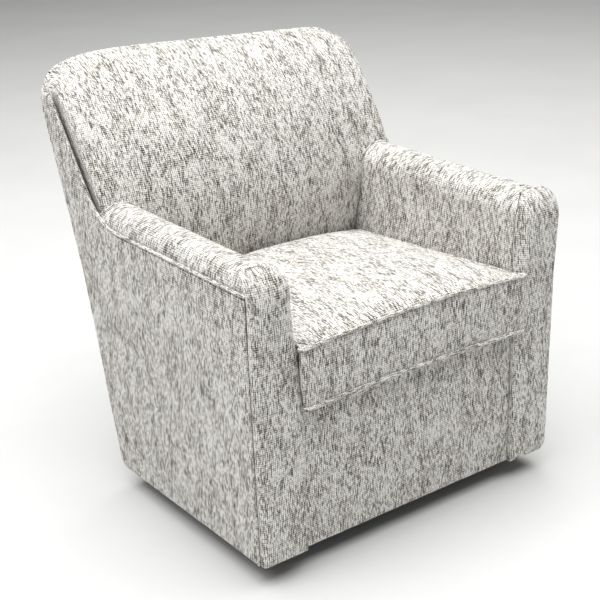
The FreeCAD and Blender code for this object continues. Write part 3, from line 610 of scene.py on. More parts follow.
@dataclass(frozen=True)
class BodyLines:
    """Lines that the upholstered pieces share."""
    bottom: float = 45.0
    bottom_half_width: float = 377.5
    flare: float = 0.014
    front_y: float = -300.0
    rear_bottom_y: float = 229.0
    lower_rake: float = 0.2124
    upper_rake: float = 0.325
    knee: float = 480.0
    knee_softness: float = 12.0
    corner_height: float = 838.0
    crest_height: float = 890.0
    crest_corner: float = 866.0
    crest_power: float = 6.0
    crest_half_width: float = 374.5
    crest_round: float = 50.0
    crest_tilt: float = 0.05
    arm_inner_x: float = 272.0
    arm_lean_x: float = 288.0
    lean_start: float = 330.0
    lean_end: float = 565.0
    arm_crown: float = 636.0
    arm_roof: float = 584.0
    arm_inner_radius: float = 48.0
    arm_outer_radius: float = 36.0
    seam_y: float = 205.0
    seam_rake: float = 0.176
    arm_welt_z: float = 598.0
    welt_corner_y: float = 223.5
    welt_corner_radius: float = 132.0
    welt_rake: float = 0.687
    welt_top: float = 826.0
    welt_radius: float = 3.75
    welt_play: float = 0.25
    panel_corners: tuple = (22.0, 60.0, 20.0, 14.0)
    deck_z: float = 347.0
    deck_slope: float = 0.0717
    facing_depth: float = 12.0
    facing_top: float = 635.0
    facing_roll_height: float = 60.0
    facing_roll_back: float = 30.0
    facing_inner_roll: float = 15.0
    facing_inner_reach: float = 24.0
    facing_inner_start: tuple = (430.0, 520.0)

    def inner_x(self, z: np.ndarray) -> np.ndarray:
        """Inside of the right arm: two upright lines joined by a leaning one."""
        return np.interp(z, [self.lean_start, self.lean_end], [self.arm_inner_x, self.arm_lean_x])

    def facing_roll(self, x: np.ndarray, z: np.ndarray) -> np.ndarray:
        """Set-back of the facings where they roll over the arms.

        It is a parabola from the start of the top roll, and above the cushion a quarter circle at the
        inner edge.

        Args:
            x: Distances from the middle of the chair.
            z: Heights.

        Returns:
            How far the face lies behind its plane.
        """
        share = np.clip((z - self.facing_top + self.facing_roll_height) / self.facing_roll_height, 0, 1)
        inner = self.facing_inner_roll * (1 - rounded(x - self.inner_x(z), self.facing_inner_reach))
        return self.facing_roll_back * share ** 2 + inner * smooth(*self.facing_inner_start, z) * (1 - share)

    def deck(self, y: np.ndarray) -> np.ndarray:
        """Top of the deck, a plane that slopes down to the rear."""
        return self.deck_z - self.deck_slope * (y - self.front_y)

    def side_x(self, z: Reals) -> Reals:
        """Outside of the right side panel: a plane that leans out as it rises."""
        return self.bottom_half_width + self.flare * (z - self.bottom)

    def rake_y(self, z: Reals) -> Reals:
        """Outside of the back: two leaning lines whose corner is eased by a hyperbola."""
        rise = z - self.knee
        bend = (self.upper_rake - self.lower_rake) / 2
        knee_y = self.rear_bottom_y + self.lower_rake * (self.knee - self.bottom)
        middle = (self.upper_rake + self.lower_rake) / 2
        eased = np.sqrt(rise ** 2 + self.knee_softness ** 2) - self.knee_softness
        return knee_y + middle * rise + bend * eased

    def crest_z(self, x: np.ndarray) -> np.ndarray:
        """Arched top of the back, higher on the left: a power fall, and a quarter circle at each corner."""
        fall = (self.crest_height - self.crest_corner) * np.abs(x / self.crest_half_width) ** self.crest_power
        inside = self.side_x(self.corner_height) - np.abs(x)
        corner = self.crest_round * (1 - rounded(inside, self.crest_round))
        lean = self.crest_tilt * x * (1 - (x / self.bottom_half_width) ** 4)
        return self.crest_height - lean - fall - corner

    def seam(self, z: Reals) -> Reals:
        """Plane where the arms end against the inside back."""
        return self.seam_y + self.seam_rake * (self.arm_crown - z)

    def welt_y(self, z: Reals) -> Reals:
        """Line of the welt up the side of the back."""
        return self.welt_corner_y + self.welt_rake * (z - self.arm_welt_z)

    def welt_outline(self, drop: float, front_corner: float) -> np.ndarray:
        """Side panel's outline, held back from the welt's line by a drop: straight edges, rounded corners."""
        start = self.front_y + self.facing_depth + 2 * (self.welt_radius + self.welt_play)
        shift = drop * math.hypot(1, self.welt_rake)
        top_y = self.welt_y(self.corner_height) + shift
        corner_z = self.arm_welt_z - drop
        corner_y = self.welt_y(corner_z) + shift
        points = [(start, self.bottom), (self.rear_bottom_y, self.bottom),
                  (self.rake_y(self.knee), self.knee), (self.rake_y(self.corner_height), self.corner_height),
                  (top_y, self.corner_height), (corner_y, corner_z), (start, corner_z)]
        return rounded_outline(points, [front_corner, *self.panel_corners, self.welt_corner_radius + drop, 2])


# Radius of each bottom front corner, and how far each facing swells past the side near its top
FRONT_CORNERS = {Side.LEFT: 9.0, Side.RIGHT: 26.0}
FACING_SWELLS = {Side.LEFT: -2.0, Side.RIGHT: 7.0}


@dataclass
class FlatPad:
    """A thin upholstered panel: two skins over one outline, drawn together in a round at its rim.

    The outline is split into a low and a high chain along its first coordinate p; between them the second
    coordinate q runs in stations that are close together at the rim.
    """
    outline: np.ndarray
    place: Callable
    thickness: float = 10.0
    rim: float = 5.0
    columns: int = 120
    rows: int = 80
    relief: Callable | None = None

    def chains(self, p: np.ndarray) -> tuple:
        """Low and high q of the outline at each p, read off its two chains."""
        ring = self.outline
        near = np.isclose(ring[:, 0], ring[:, 0].min(), atol=SAME_MM)
        start = int(np.flatnonzero(near & (ring[:, 1] == ring[near, 1].min()))[0])
        ring = np.roll(ring, -start, axis=0)
        far = np.flatnonzero(np.isclose(ring[:, 0], ring[:, 0].max(), atol=SAME_MM))
        low = ring[:far[0] + 1]
        high = np.concatenate([ring[far[-1]:], ring[:1]])[::-1]
        if len(high) > 2 and np.isclose(high[0, 0], high[1, 0], atol=SAME_MM):
            high = high[1:]
        return np.interp(p, low[:, 0], low[:, 1]), np.interp(p, high[:, 0], high[:, 1])

    def patches(self) -> list:
        """Front and hidden skins; depth falls to half the thickness in a quarter circle at the rim."""
        span = np.array([np.ptp(self.outline[:, 0])])
        edge = np.array([self.rim])
        p = self.outline[:, 0].min() + stations(span, edge, edge, self.columns)[0]
        low, high = self.chains(p)
        low_slant = np.hypot(1, np.clip(np.gradient(low, p), -STEEPEST, STEEPEST))
        high_slant = np.hypot(1, np.clip(np.gradient(high, p), -STEEPEST, STEEPEST))
        run = stations(high - low, self.rim * low_slant, self.rim * high_slant, self.rows)
        q = low[:, None] + run
        p = np.broadcast_to(p[:, None], q.shape)
        ends = np.minimum(p - p.min(), p.max() - p)
        left = (high - low)[:, None] - run
        inside = np.minimum(run / low_slant[:, None], left / high_slant[:, None])
        inside = np.clip(np.minimum(inside, ends), 0, None)
        fall = self.thickness / 2 * (1 - rounded(inside, self.rim))
        lift = self.relief(p, q, inside) if self.relief else 0.0
        cloth = stacked(p, q)
        front = self.place(p, q, lift * rounded(inside, self.rim) - fall)
        hidden = self.place(p, q, fall - self.thickness)
        return [Patch(front, cloth), Patch(hidden, cloth)]


# Upholstered panels

@dataclass
class SidePanels:
    """Outside arms: one flat panel on each side, from the floor gap up to the welt."""
    lines: BodyLines
    dome: float = 2.5
    dome_reach: float = 90.0
    pull: float = 0.7
    pull_reach: float = 40.0
    slack: float = 0.6
    corner_share: float = 0.7

    def place(self, side: Side) -> Callable:
        """Map (y, z, depth) onto the leaning side plane."""
        return lambda y, z, depth: stacked(side.value * (self.lines.side_x(z) + depth), y, z)

    def relief(self, y: np.ndarray, z: np.ndarray, inside: np.ndarray) -> np.ndarray:
        """Low dome with an uneven pull, strongest along the top edge where the cloth is tacked."""
        tacked = ripples(y, z * 0.12, size=34.0, seed=1) * np.exp(-inside / self.pull_reach) * self.pull
        slack = self.slack * ripples(y, z, size=150.0, seed=2)
        return self.dome * smooth(0, self.dome_reach, inside) + slack + tacked

    def build(self, material: bpy.types.Material) -> None:
        """Make and dress both panels."""
        for side in Side:
            outline = self.lines.welt_outline(self.lines.welt_radius + self.lines.welt_play,
                                              self.corner_share * FRONT_CORNERS[side])
            pad = FlatPad(outline, self.place(side), columns=190, rows=110, relief=self.relief)
            name = f"outside_arm_{side.name.lower()}"
            piece = mesh_object(name, pad.patches(), (side.value * 411.0, 130.0))
            dress(piece, material, "seat_unit", Slot.FABRIC, f"side_panel_{side.name.lower()}")


@dataclass
class Facings:
    """Front faces of the arms: narrow panels that roll over the arms, with a dart at the outer corner."""
    lines: BodyLines
    rim: float = 4.5
    dome: float = 7.0
    dome_reach: float = 44.0
    edge_fall: float = 1.0
    edge_reach: float = 16.0
    overlap: float = 1.2
    swell_drop: float = 48.0
    swell_end: float = 170.0
    bend: float = 200.0
    top_corner: float = 22.0
    dart: tuple = ((597.0, 379.0), (562.0, 370.0))
    dart_width: float = 3.0
    dart_depth: float = 7.0
    gather_reach: float = 90.0
    slack: float = 0.8

    def outline(self, side: Side) -> np.ndarray:
        """Outline as (z, x): leaning inner edge, rounded top, and an outer edge that swells near the top."""
        line = self.lines
        top = line.facing_top
        swell = FACING_SWELLS[side]
        full = top - self.swell_drop
        flush = top - self.swell_end
        inner = line.arm_inner_x - self.overlap
        leaning = line.arm_lean_x - self.overlap
        points = [(line.bottom, inner), (line.lean_start, inner), (line.lean_end, leaning), (top, leaning),
                  (top, line.side_x(top) + swell), (full, line.side_x(full) + swell),
                  (flush, line.side_x(flush)), (line.bottom, line.side_x(line.bottom))]
        radii = [3, self.bend, self.bend, line.arm_inner_radius, self.top_corner, self.bend / 2, self.bend,
                 FRONT_CORNERS[side]]
        return rounded_outline(points, radii)

    def place(self, side: Side) -> Callable:
        """Map (z, x, depth) onto the front plane, rolled back near the top and the inner edge."""
        line = self.lines
        return lambda z, x, depth: stacked(side.value * x, line.front_y - depth + line.facing_roll(x, z), z)

    def relief(self, z: np.ndarray, x: np.ndarray, inside: np.ndarray) -> np.ndarray:
        """Dome with slack low down, less the dart and the small gathers below the top seam."""
        dart = self.dart_depth * groove(z, x, *self.dart, self.dart_width)
        near_top = smooth(self.gather_reach, 0, self.lines.facing_top - z)
        gathers = ripples(x, z * 0.1, size=16.0, seed=5) * near_top * smooth(0, 8, inside)
        slack = self.slack * ripples(x * 0.5, z, size=120.0, seed=6)
        edge = self.edge_fall * (1 - rounded(inside, self.edge_reach))
        return self.dome * rounded(inside, self.dome_reach) + slack - edge - dart + gathers

    def cloth(self, points: np.ndarray) -> np.ndarray:
        """Cloth map with the warp up: lengths across each row and up the middle of the surface."""
        middle = points.shape[1] // 2
        spine = points[:, middle:middle + 1]
        across = lengths(points, 1)
        return stacked(across - across[:, middle:middle + 1] + np.abs(spine[..., 0]), lengths(spine))

    def build(self, material: bpy.types.Material) -> None:
        """Make and dress both facings."""
        for side in Side:
            pad = FlatPad(self.outline(side), self.place(side), self.lines.facing_depth, self.rim,
                          columns=260, rows=64, relief=self.relief)
            patches = [Patch(patch.points, self.cloth(patch.points)) for patch in pad.patches()]
            name = f"arm_facing_{side.name.lower()}"
            piece = mesh_object(name, patches, (side.value * 733.0, 410.0))
            dress(piece, material, "seat_unit", Slot.FABRIC, f"facing_{side.name.lower()}")


@dataclass
class FrontPanel:
    """Panel under the cushion, between the facings."""
    lines: BodyLines
    y: float = -290.5
    top: float = 346.0
    overlap: float = 5.0
    dome: float = 2.5
    dome_reach: float = 70.0
    slack: float = 0.6
    pucker: float = 1.6
    pucker_reach: float = 38.0
    sag: float = 1.3
    sag_reach: float = 30.0
    pull: tuple = ((38.0, 338.0), (58.0, 290.0))
    pull_width: float = 6.0
    pull_depth: float = 1.8
    tuck: float = 1.0
    tuck_reach: float = 24.0

    def place(self, x: np.ndarray, z: np.ndarray, depth: np.ndarray) -> np.ndarray:
        """Map (x, z, depth) onto the panel's plane."""
        return stacked(x, self.y - depth, z)

    def relief(self, x: np.ndarray, z: np.ndarray, inside: np.ndarray) -> np.ndarray:
        """Dome, puckers that fade upwards from the tacked bottom edge, and pulls under the cushion."""
        near_bottom = np.exp(-(z - self.lines.bottom) / self.pucker_reach)
        puckers = ripples(x, z * 0.05, size=30.0, seed=8) * near_bottom
        pull = groove(x, z, *self.pull, self.pull_width)
        sag = ripples(x, z * 0.15, size=44.0, seed=9) * np.exp(-(self.top - z) / self.sag_reach)
        tucked = self.tuck * (1 - rounded(self.lines.arm_inner_x + 1 - np.abs(x), self.tuck_reach))
        slack = ripples(x, z, size=130.0, seed=10) * self.slack
        lift = self.dome * smooth(0, self.dome_reach, inside) + slack
        return lift + self.pucker * puckers + self.sag * sag - self.pull_depth * pull - tucked

    def build(self, material: bpy.types.Material) -> None:
        """Make and dress the panel."""
        outline = rectangle(self.lines.arm_inner_x + self.overlap, self.lines.bottom, self.top, 2)
        pad = FlatPad(outline, self.place, columns=170, rows=100, relief=self.relief)
        piece = mesh_object("front_border", pad.patches(), (95.0, -260.0))
        dress(piece, material, "seat_unit", Slot.FABRIC, "front_panel")


@dataclass
class OutsideBack:
    """Panel that closes the back, arched at the top and leaning in two planes."""
    lines: BodyLines
    crest_drop: float = 2.0
    side_gap: float = 9.0
    dome: float = 3.0
    dome_reach: float = 80.0
    pull: float = 0.7
    pull_reach: float = 30.0
    slack: float = 0.5

    def outline(self) -> np.ndarray:
        """Outline as (x, z): flared sides and the crest's arch."""
        line = self.lines
        low = line.side_x(line.bottom) - self.side_gap
        high = line.side_x(line.corner_height) - self.side_gap
        arch = np.linspace(high, -high, 61)
        crest = stacked(arch, line.crest_z(arch) - self.crest_drop)
        return np.concatenate([[(-low, line.bottom), (low, line.bottom)], crest])

    def place(self, x: np.ndarray, z: np.ndarray, depth: np.ndarray) -> np.ndarray:
        """Map (x, z, depth) onto the leaning back."""
        return stacked(x, self.lines.rake_y(z) + depth, z)

    def relief(self, x: np.ndarray, z: np.ndarray, inside: np.ndarray) -> np.ndarray:
        """Low dome with a slight pull along its tacked edges."""
        tacked = ripples(x, z * 0.3, size=40.0, seed=12) * np.exp(-inside / self.pull_reach)
        slack = self.slack * ripples(x, z, size=160.0, seed=13)
        return self.dome * smooth(0, self.dome_reach, inside) + self.pull * tacked + slack

    def build(self, material: bpy.types.Material) -> None:
        """Make and dress the panel."""
        pad = FlatPad(self.outline(), self.place, columns=170, rows=140, relief=self.relief)
        piece = mesh_object("outside_back_panel", pad.patches(), (-230.0, 900.0))
        dress(piece, material, "seat_unit", Slot.FABRIC, "outside_back")


# Padded arms and back

@dataclass
class InsideBack:
    """Crowned back pad: between the arms low down, the full width above them, rolled over the crest."""
    lines: BodyLines
    bottom: float = 402.0
    lumbar_z: float = 640.0
    lumbar_lead: float = 40.0
    lumbar_crown: float = 10.0
    lumbar_ease: float = 54.0
    low_lead: float = 24.0
    low_crown: float = 10.0
    low_bulge: float = 8.0
    bulge_from: tuple = (430.0, 500.0)
    bulge_to: tuple = (720.0, 520.0)
    width_z: float = 700.0
    arm_lap: float = 6.0
    edge_behind: float = 2.0
    top_puff: float = 56.0
    side_round: float = 28.0
    side_power: float = 3.4
    roll: float = 48.0
    edge_roll: float = 10.0
    side_gap: float = 8.0
    strip_recess: float = 7.0
    crest_fall: float = 4.0
    rear_offset: float = 9.0
    rear_step: float = 24.0
    rear_ease: float = 40.0
    pinch: tuple = ((378.0, 822.0), (352.0, 800.0))
    pinch_width: float = 6.0
    pinch_depth: float = 3.0
    columns: int = 101
    rows: int = 64

    def half_width(self) -> float:
        """Half of the pad's width at the height where it is taken."""
        return self.lines.side_x(self.width_z) - self.side_gap

    def fullness(self, x: np.ndarray) -> np.ndarray:
        """Filling across the pad: 1 in the middle, falling to 0 at the sides in a quarter superellipse."""
        near = 1 - np.clip((self.half_width() - np.abs(x)) / self.side_round, 0, 1)
        return (1 - near ** self.side_power) ** (1 / self.side_power)

    def front(self, x: np.ndarray, z: np.ndarray) -> np.ndarray:
        """Front of the pad.

        It is the soft maximum of a line up to the lumbar height and a line from there to the top, and the
        fullness draws it back to the welt's line at the sides.

        Args:
            x: Places across.
            z: Heights.

        Returns:
            y of the front.
        """
        line = self.lines
        middle = np.clip(1 - (x / line.arm_inner_x) ** 2, 0, 1)
        lead = self.lumbar_lead + self.lumbar_crown * middle
        lumbar_y = line.seam(self.lumbar_z) - lead
        low_y = line.seam(self.bottom) - self.low_lead - self.low_crown * middle
        top_y = line.welt_y(line.corner_height) - self.top_puff
        low_lean = (lumbar_y - low_y) / (self.lumbar_z - self.bottom)
        high_lean = (top_y - lumbar_y) / (line.corner_height - self.lumbar_z)
        low = lumbar_y + low_lean * (z - self.lumbar_z)
        high = lumbar_y + high_lean * (z - self.lumbar_z)
        flat = (low + high) / 2 + np.sqrt(((high - low) / 2) ** 2 + self.lumbar_ease ** 2)
        flat = flat - self.low_bulge * middle * smooth(*self.bulge_from, z) * smooth(*self.bulge_to, z)
        flat = np.where(np.abs(x) > line.arm_lean_x, np.maximum(flat, line.seam(z) - self.arm_lap), flat)
        edge = line.welt_y(z) + self.edge_behind
        return edge - (edge - flat) * self.fullness(x)

    def sections(self) -> np.ndarray:
        """Closed sections across the pad: front, a quadratic curve over the crest, rake and underside."""
        line = self.lines
        share = np.sin(np.linspace(-1, 1, self.columns) * math.pi / 2)[:, None]
        x = share * self.half_width()
        full = self.fullness(x)
        top_z = line.crest_z(x)
        corner_z = top_z - self.crest_fall
        corner_y = self.front(x, corner_z)
        roll = self.edge_roll + (self.roll - self.edge_roll) * full
        turn_z = corner_z - roll
        floor_z = np.interp(np.abs(x), [line.arm_inner_x + 4, line.arm_lean_x - 0.8, line.arm_lean_x + 0.5],
                            [self.bottom, line.lean_end, line.arm_roof])
        z = np.maximum(self.bottom + (turn_z - self.bottom) * np.linspace(0, 1, self.rows), floor_z)
        front_y = self.front(x, z)
        step = np.linspace(0, 1, 14)[1:]
        crest_y = corner_y + roll
        crest_z = corner_z + self.crest_fall * roll / (line.rake_y(corner_z) - corner_y)
        curve_y = (1 - step) ** 2 * front_y[:, -1:] + 2 * step * (1 - step) * corner_y + step ** 2 * crest_y
        curve_z = (1 - step) ** 2 * turn_z + 2 * step * (1 - step) * corner_z + step ** 2 * crest_z
        rear_top = line.rake_y(top_z) - self.rear_offset
        over = np.linspace(0, 1, 9)[1:]
        over_y = crest_y + (rear_top - crest_y) * over
        over_z = crest_z + (top_z - crest_z) * over
        down = np.linspace(0, 1, 26)[1:]
        down_z = top_z + (floor_z - top_z) * down
        step_in = self.rear_step * smooth(0, self.rear_ease, top_z - down_z)
        down_y = line.rake_y(down_z) - self.rear_offset - step_in
        under = np.linspace(0, 1, 5)[1:-1]
        under_y = down_y[:, -1:] + (front_y[:, :1] - down_y[:, -1:]) * under
        under_z = np.broadcast_to(floor_z, under_y.shape)
        y = np.concatenate([front_y, curve_y, over_y, down_y, under_y], axis=1)
        z = np.concatenate([z, curve_z, over_z, down_z, under_z], axis=1)
        recess = self.strip_recess * smooth(20, 3, line.welt_y(z) - y) * smooth(300, 350, np.abs(x))
        across = share * (line.side_x(z) - self.side_gap) - np.sign(share) * recess
        return stacked(across, y, z)

    def build(self, material: bpy.types.Material, stuffing: Stuffing) -> None:
        """Loft the sections, fill them, and pinch the top corners."""
        rings = self.sections()
        looped = np.concatenate([rings, rings[:, :1]], axis=1)
        across = lengths(looped)
        up = lengths(looped, 1) + (rings[:, :1, 2] - self.bottom)
        flat = stacked(across - across[self.columns // 2], up)
        piece = mesh_object("inside_back_pad", [closed_ring(rings, flat)], (-77.0, 205.0))
        line = self.lines
        x, y, z = places(piece).T
        behind = smooth(34, 14, line.rake_y(z) - y)
        low = smooth(470, 420, z)
        beside = smooth(14, 4, line.welt_y(z) - y) * smooth(340, 370, np.abs(x))
        tucked = (np.abs(x) > line.arm_lean_x) & (z < line.arm_crown - 12)
        stuffing.fill(piece, np.maximum.reduce([behind, low, beside, tucked.astype(float)]))
        x, y, z = places(piece).T
        for side in Side:
            front = smooth(60, 90, line.rake_y(z) - y)
            y = y + self.pinch_depth * groove(side.value * x, z, *self.pinch, self.pinch_width) * front
        move_to(piece, stacked(x, y, z))
        subdivided(piece)
        dress(piece, material, "seat_unit", Slot.FABRIC, "inside_back")


@dataclass
class Arms:
    """Rolled arms: a padded inner wall that curves over the crown and down to the outer welt."""
    lines: BodyLines
    back: InsideBack
    bottom: float = 288.0
    wall: float = 28.0
    roll_bottom: float = 598.0
    frame_x: float = 364.0
    outer_gap: float = 1.5
    cord_end: float = 430.0
    front_y: float = -287.6
    rear_y: float = 244.0
    end_round: float = 3.0
    rings: int = 76
    count: int = 132

    def section(self) -> np.ndarray:
        """Closed section as (x, z): an upside-down L with a rounded crown."""
        line = self.lines
        outer = line.side_x(self.roll_bottom) - self.outer_gap
        inner = line.arm_inner_x
        points = [(inner, self.bottom), (inner + self.wall, self.bottom), (inner + self.wall, line.arm_roof),
                  (self.frame_x, line.arm_roof), (self.frame_x, self.roll_bottom), (outer, self.roll_bottom),
                  (outer, line.arm_crown), (line.arm_lean_x, line.arm_crown),
                  (line.arm_lean_x, line.lean_end), (inner, line.lean_start)]
        radii = [4, 4, 6, 3, 3, 2, line.arm_outer_radius, line.arm_inner_radius, 200, 200]
        return evenly(rounded_outline(points, radii), self.count)

    def crown_line(self) -> np.ndarray:
        """Section points from the outer welt over the crown and down the inner wall, for the seam cords."""
        ring = self.section()
        start = int(np.argmax(ring[:, 0] - 0.001 * ring[:, 1]))
        turned = np.roll(ring, -start, axis=0)
        ended = (turned[:, 0] < self.lines.arm_lean_x) & (turned[:, 1] < self.cord_end)
        stop = int(np.flatnonzero(ended)[0])
        return turned[:stop]

    def end_y(self, x: np.ndarray, z: np.ndarray) -> np.ndarray:
        """Rear end of the arm: on the seam plane, and against the back pad where that curves away."""
        beyond = np.where(z > self.lines.arm_roof, self.back.front(x, z), 0.0)
        return np.minimum(np.maximum(self.lines.seam(z) - 1.0, beyond), self.rear_y)

    def build(self, material: bpy.types.Material, stuffing: Stuffing) -> None:
        """Carry the section along the arm, rounding it in at both ends, then fill it."""
        line = self.lines
        ring = self.section()
        edge = unit(np.roll(ring, -1, 0) - np.roll(ring, 1, 0))
        outward = stacked(edge[:, 1], -edge[:, 0])
        front = self.front_y + line.facing_roll(ring[:, 0], ring[:, 1])
        length = self.end_y(ring[:, 0], ring[:, 1]) - front
        ends = np.full(self.count, self.end_round)
        run = stations(length, ends, ends, self.rings).T
        inset = self.end_round * (1 - rounded(np.minimum(run, length - run), self.end_round))
        xz = ring - outward * inset[..., None]
        y = front + run
        cloth = stacked(np.concatenate([y, y[:, :1]], axis=1), lengths(np.concatenate([ring, ring[:1]])))
        for side in Side:
            points = stacked(side.value * xz[..., 0], y, xz[..., 1])
            name = f"rolled_arm_{side.name.lower()}"
            piece = mesh_object(name, [closed_ring(points, cloth)], (side.value * 517.0, 61.0))
            across, along, up = places(piece).T
            aside = np.abs(across)
            hidden = (aside > line.arm_inner_x + 6) & (up < line.arm_roof + 8)
            ahead = along - self.front_y - line.facing_roll(aside, up)
            at_end = np.minimum(ahead, self.end_y(aside, up) - along)
            held = np.where(hidden | (up < line.lean_start), 1.0, 1 - smooth(4, 26, at_end))
            tacked = np.maximum(held, 1 - smooth(0, 14, up - self.roll_bottom))
            stuffing.fill(piece, np.where(aside > self.frame_x, tacked, held))
            subdivided(piece)
            dress(piece, material, "seat_unit", Slot.FABRIC, f"arm_pad_{side.name.lower()}")


# Loose seat cushion

@dataclass
class Cushion:
    """Boxed seat cushion: crowned top panel, flat bottom panel, boxing between them, and two welts."""
    lines: BodyLines
    near_y: float = -320.0
    far_y: float = 217.0
    low_half: float = 271.0
    high_half: float = 277.5
    clearance: float = 0.6
    low_rise: float = 7.0
    high_rise: float = 128.0
    crown: float = 37.0
    crown_power: float = 0.6
    front_corner: float = 12.0
    corner: float = 26.0
    welt: float = 4.0
    draw_in: float = 3.0
    flare: float = 15.0
    flare_y: tuple = (-298.0, -312.0)
    flare_x: tuple = (150.0, 260.0)
    arch: float = 11.0
    bulge: float = 3.0
    across: int = 49
    boxing_rows: int = 15
    boxing_cut: float = 900.0
    seam_points: int = 420
    zip_half: float = 218.0
    zip_depth: float = 13.5
    zip_band: tuple = (17.0, 10.0)
    welt_out: float = 2.0
    closeness: float = 1.25

    def plane_z(self, y: np.ndarray) -> np.ndarray:
        """Underside of the cushion, just above the deck."""
        return self.lines.deck(y) + self.clearance

    def middle_y(self) -> float:
        """Middle of the cushion from front to rear."""
        return (self.near_y + self.far_y) / 2

    def spacing(self) -> np.ndarray:
        """Steps from -1 to 1 across a panel, closer together towards its seams."""
        t = np.linspace(-1, 1, self.across)
        return np.sign(t) * (1 - (1 - np.abs(t)) ** self.closeness)

    def outline(self, a: np.ndarray, b: np.ndarray, level: np.ndarray) -> tuple:
        """Place a point of the square's border on the cushion's border.

        The border is a rectangle with quarter-circle corners, drawn in by a parabola between them. Level runs
        from 0 at the bottom seam to 1 at the top seam, and the boxing bulges between as half a sine.

        Args:
            a: Coordinate across, from -1 to 1.
            b: Coordinate from front to rear, from -1 to 1.
            level: Height share of the boxing.

        Returns:
            x and y of the points.
        """
        half_x = self.low_half + (self.high_half - self.low_half) * level - self.welt
        half_x = half_x + self.bulge * np.sin(math.pi * level)
        half_y = (self.far_y - self.near_y) / 2 - self.welt + self.bulge * np.sin(math.pi * level)
        x, y = a * half_x, b * half_y
        corner = np.where(b < 0, self.front_corner, self.corner)
        past_x = np.abs(x) - (half_x - corner)
        past_y = np.abs(y) - (half_y - corner)
        in_corner = (past_x > 0) & (past_y > 0)
        share = np.where(past_x >= past_y, past_y, 2 * corner - past_x) / (2 * corner)
        angle = np.clip(share, 0, 1) * math.pi / 2
        x = np.where(in_corner, np.sign(x) * (half_x - corner + corner * np.cos(angle)), x)
        y = np.where(in_corner, np.sign(y) * (half_y - corner + corner * np.sin(angle)), y)
        x = x - np.sign(a) * self.draw_in * (1 - b ** 2) * (np.abs(a) > 1 - 1e-9)
        y = y - np.sign(b) * self.draw_in * (1 - a ** 2) * (np.abs(b) > 1 - 1e-9)
        y = y + self.middle_y()
        return x + np.sign(x) * self.flare * smooth(*self.flare_y, y) * smooth(*self.flare_x, np.abs(x)), y

    def rise(self, x: np.ndarray, y: np.ndarray, level: np.ndarray) -> np.ndarray:
        """Height of a seam or the boxing: the underside, the level, and an arch that is highest in front."""
        forward = smooth(self.far_y, self.near_y, y)
        bow = self.arch * (0.3 + 0.7 * forward) * (1 - (x / self.high_half) ** 2)
        height = self.low_rise + (self.high_rise - self.low_rise) * level
        return self.plane_z(y) + height + bow * (0.55 + 0.45 * level)

    def panel(self, top: bool) -> Patch:
        """Top or bottom panel: loops of a square shrink from the outline, and the top swells to its crown."""
        a, b = np.meshgrid(self.spacing(), self.spacing(), indexing="ij")
        ring = np.maximum(np.maximum(np.abs(a), np.abs(b)), 1e-9)
        level = np.full(a.shape, 1.0 if top else 0.0)
        edge_x, edge_y = self.outline(a / ring, b / ring, level)
        middle_y = self.middle_y()
        plain_x = a * (self.high_half if top else self.low_half)
        plain_y = b * (self.far_y - self.near_y) / 2
        blend = ring ** 6
        x = blend * edge_x * ring + (1 - blend) * plain_x * 0.985
        y = middle_y + blend * (edge_y - middle_y) * ring + (1 - blend) * plain_y * 0.985
        z = self.rise(x, y, level)
        if top:
            ends = np.where(b > 0, np.abs(b) ** 7, b ** 2)
            swell = ((1 - np.abs(a) ** 2.4) * (1 - ends)) ** self.crown_power
            z = z + self.crown * swell + 1.2 * ripples(x, y, size=140.0, seed=21) * smooth(0, 0.3, swell)
        else:
            z = z + (self.plane_z(y) - z) * smooth(1.0, 0.93, ring)
        return Patch(stacked(x, y, z), stacked(x, y))

    def border(self) -> tuple:
        """Square border as (a, b), once round from the front left corner."""
        t = self.spacing()
        one = np.ones(self.across - 1)
        a = np.concatenate([t[:-1], one, t[:0:-1], -one])
        b = np.concatenate([-one, t[:-1], one, t[:0:-1]])
        return a, b

    def boxing(self) -> Patch:
        """Strip round the cushion between its seams, sharing their points."""
        a, b = self.border()
        a, b = np.append(a, a[0]), np.append(b, b[0])
        level = np.linspace(0, 1, self.boxing_rows)[:, None] * np.ones_like(a)
        x, y = self.outline(np.broadcast_to(a, level.shape), np.broadcast_to(b, level.shape), level)
        points = stacked(x, y, self.rise(x, y, level))
        return Patch(points, stacked(lengths(points[-1]) + self.boxing_cut, points[..., 2]))

    def seam(self, level: float) -> np.ndarray:
        """Closed line of a seam, for its welt, at even steps."""
        a, b = self.border()
        levels = np.full(a.shape, level)
        x, y = self.outline(a, b, levels)
        return evenly(stacked(x, y, self.rise(x, y, levels)), self.seam_points)

    def zip_recess(self, spots: np.ndarray) -> np.ndarray:
        """Depth of the zip's recess in the rear boxing: a flat-bottomed band with eased sides."""
        middle = self.plane_z(self.far_y) + (self.low_rise + self.high_rise) / 2
        band = smooth(*self.zip_band, np.abs(spots[:, 2] - middle))
        length = smooth(self.zip_half + 6, self.zip_half - 2, np.abs(spots[:, 0]))
        return self.zip_depth * band * length * smooth(self.far_y - 24, self.far_y - 12, spots[:, 1])

